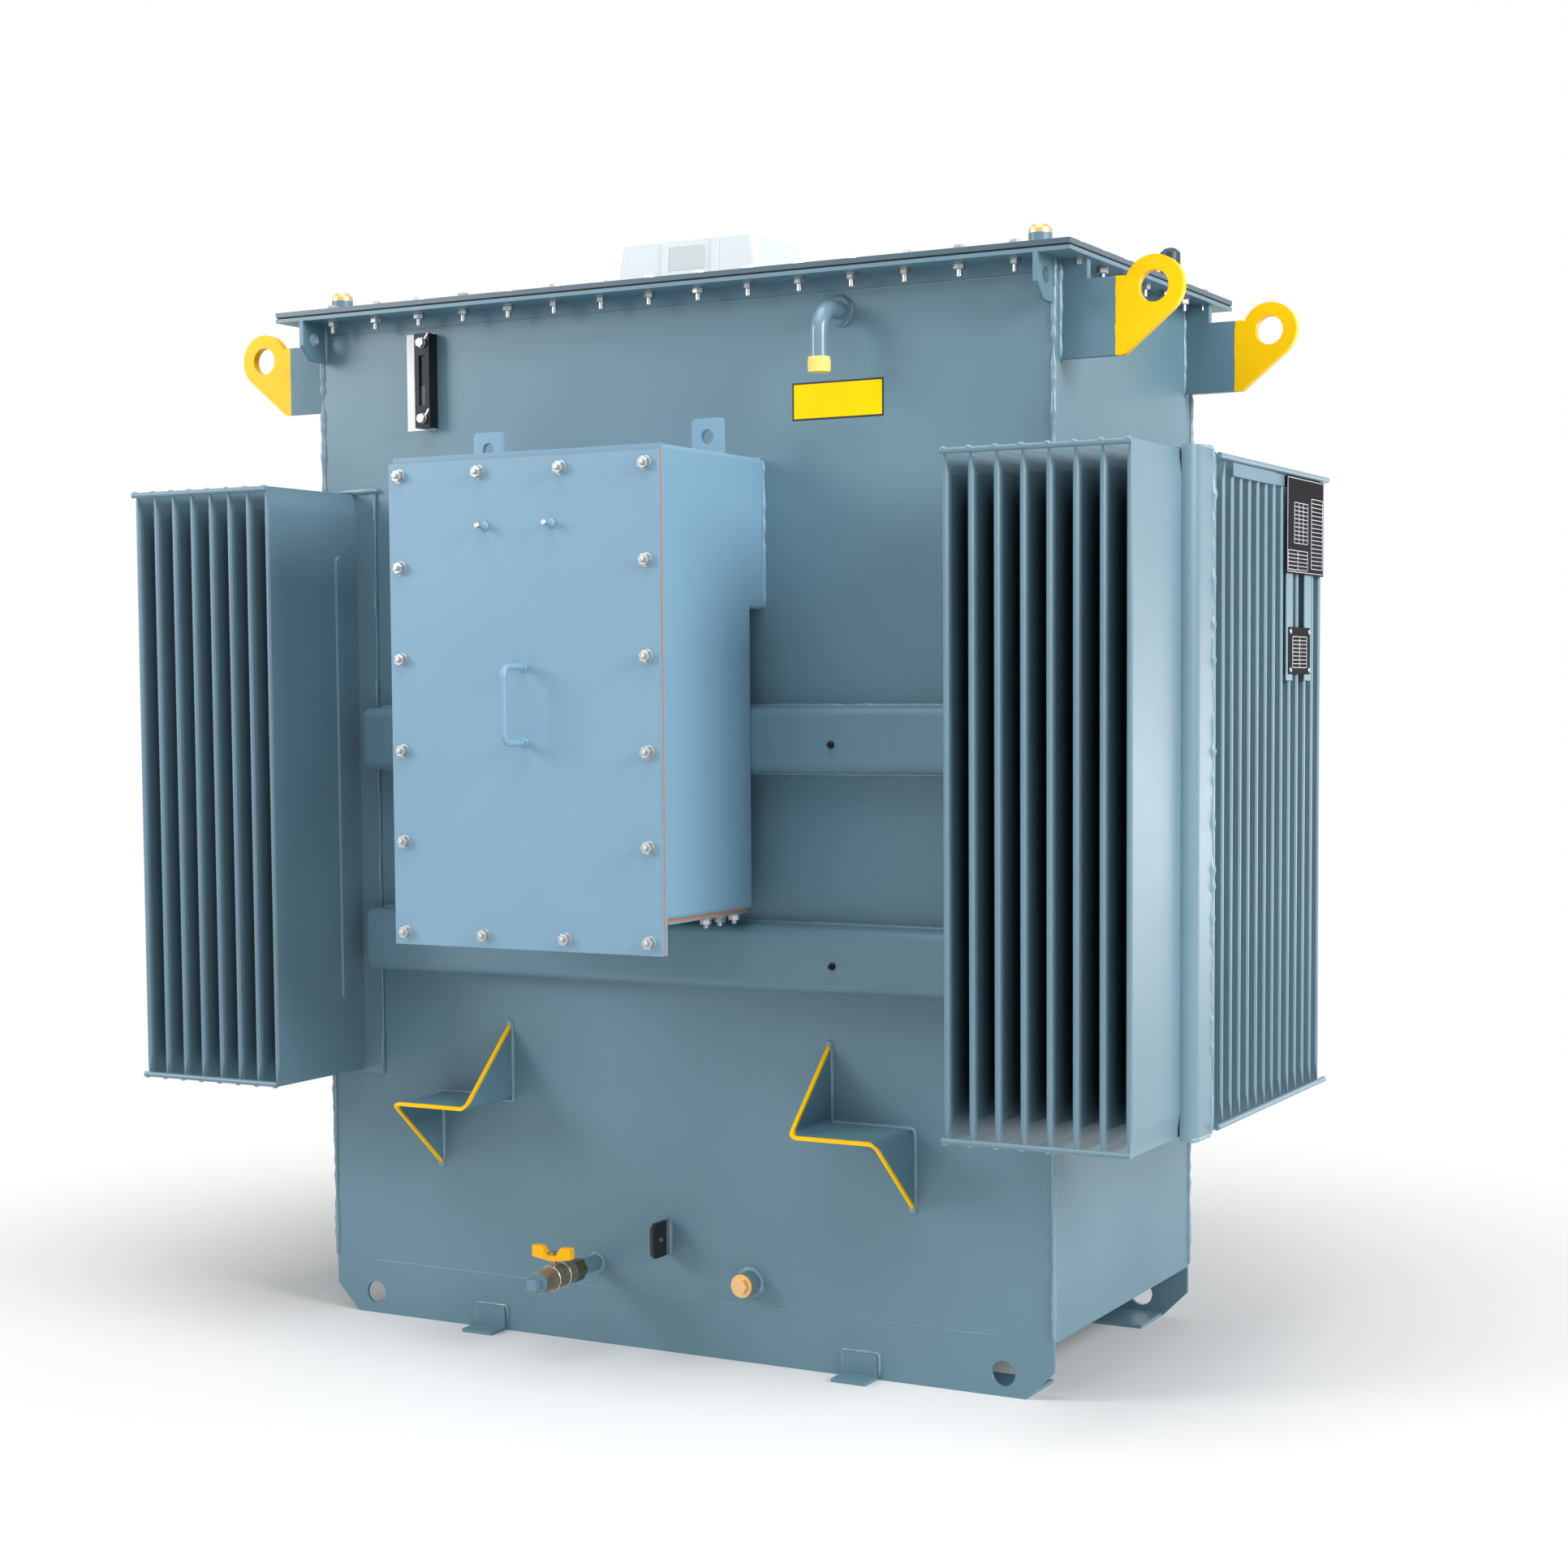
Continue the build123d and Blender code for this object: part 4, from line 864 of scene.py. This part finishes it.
floor_paint, tree, place = new_material("pale_studio_floor")
dust = add_node(tree, "ShaderNodeTexNoise", {"Scale": 1.5}, {"Vector": place})
shade = add_node(tree, "ShaderNodeMix", {"data_type": "RGBA", 6: linear("#E4E4E4"), 7: linear("#DFDFDF")},
                 {0: dust.outputs["Fac"]})
matt = add_node(tree, "ShaderNodeBsdfPrincipled", {"Roughness": 0.9}, {"Base Color": shade.outputs[2]})
white = add_node(tree, "ShaderNodeEmission", {"Strength": 1.0})
away = add_node(tree, "ShaderNodeVectorMath", {"operation": "LENGTH"}, {0: place})
far = add_node(tree, "ShaderNodeMapRange",
               {"interpolation_type": "SMOOTHSTEP", "From Min": BLEND_FROM, "From Max": BLEND_TO},
               {"Value": away.outputs["Value"]})
share = add_node(tree, "ShaderNodeMath", {"operation": "MULTIPLY"},
                 {0: far.outputs[0], 1: seen_or_mirrored(tree)})
blend = add_node(tree, "ShaderNodeMixShader", None,
                 {0: share.outputs[0], 1: matt.outputs[0], 2: white.outputs[0]})
add_node(tree, "ShaderNodeOutputMaterial", None, {"Surface": blend.outputs[0]})
floor_mesh = bpy.data.meshes.new("floor")
floor_corners = [(x * FLOOR, y * FLOOR, 0) for x, y in ((-1, -1), (1, -1), (1, 1), (-1, 1))]
floor_mesh.from_pydata(floor_corners, [], [[0, 1, 2, 3]])
floor_mesh.materials.append(floor_paint)
floor = bpy.data.objects.new("floor", floor_mesh)
bpy.context.scene.collection.objects.link(floor)

world = bpy.data.worlds.new("studio")
bpy.context.scene.world = world
world.use_nodes = True
sky = world.node_tree
sky.nodes.clear()
level = add_node(sky, "ShaderNodeMapRange", {"To Min": AMBIENT, "To Max": 1.0},
                 {"Value": seen_or_mirrored(sky)})
glow = add_node(sky, "ShaderNodeBackground", {"Color": linear("#FFFFFF")}, {"Strength": level.outputs[0]})
add_node(sky, "ShaderNodeOutputWorld", None, {"Surface": glow.outputs[0]})


def placed(u, v, w, place):
    """The matrix of an object whose own axes lie along u, v and w, at a place."""
    return Matrix([(*row, p) for row, p in zip(np.stack([u, v, w], 1).tolist(), place)] + [(0, 0, 0, 1)])


def lamp(name, place, target, width, height, watts):
    """A soft lamp of a width and a height at a place, aimed at a target."""
    light = bpy.data.lights.new(name, "AREA")
    light.shape = "RECTANGLE"
    light.size, light.size_y = width, height
    light.energy = watts
    body = bpy.data.objects.new(name, light)
    bpy.context.scene.collection.objects.link(body)
    aim = np.array(place, float) - np.array(target, float)
    u, v, w = axes_for(aim)
    body.matrix_world = placed(u, v, w, place)
    body.visible_camera = False


# From the front left, from above, from the right, and a low bright band that the right side mirrors
lamp("front_left", (-5.6, -4.6, 3.4), (0, 0, 0.9), 3.0, 3.0, 270)
lamp("above", (0.4, -1.8, 6.0), (0, 0, 0.9), 4.5, 4.5, 200)
lamp("right", (6.4, -1.5, 3.6), (0.6, 0, 0.9), 3.0, 3.0, 420)
lamp("low_band", (3.2, 6.0, 0.66), (0.8, 0, 0.66), 4.2, 1.3, 40)

# Camera solved from the straight edges of the tank and lid: pitch, roll and yaw in radians
PITCH, ROLL, YAW = 0.0631, -0.0069, 0.4975
CAMERA_AT = (2.18208, -3.91081, 1.08698)
FOCAL_PX, FRAME_PX, CENTRE_Y = 3182.99, 1932, 1054.18
SENSOR = 36.0
yaw = np.array([[math.cos(YAW), math.sin(YAW), 0], [-math.sin(YAW), math.cos(YAW), 0], [0, 0, 1]])
pitch = np.array([[1, 0, 0], [0, math.cos(PITCH), -math.sin(PITCH)], [0, math.sin(PITCH), math.cos(PITCH)]])
roll = np.array([[math.cos(ROLL), -math.sin(ROLL), 0], [math.sin(ROLL), math.cos(ROLL), 0], [0, 0, 1]])
swap = np.array([[1, 0, 0], [0, 0, -1], [0, 1, 0]])
turn = roll @ pitch @ swap @ yaw
lens = bpy.data.cameras.new("camera")
lens.sensor_width = SENSOR
lens.lens = FOCAL_PX / FRAME_PX * SENSOR
lens.shift_y = (CENTRE_Y - FRAME_PX / 2) / FRAME_PX
camera = bpy.data.objects.new("camera", lens)
bpy.context.scene.collection.objects.link(camera)
camera.matrix_world = placed(turn[0], -turn[1], -turn[2], CAMERA_AT)
bpy.context.scene.camera = camera
bpy.context.scene.view_settings.view_transform = "Standard"
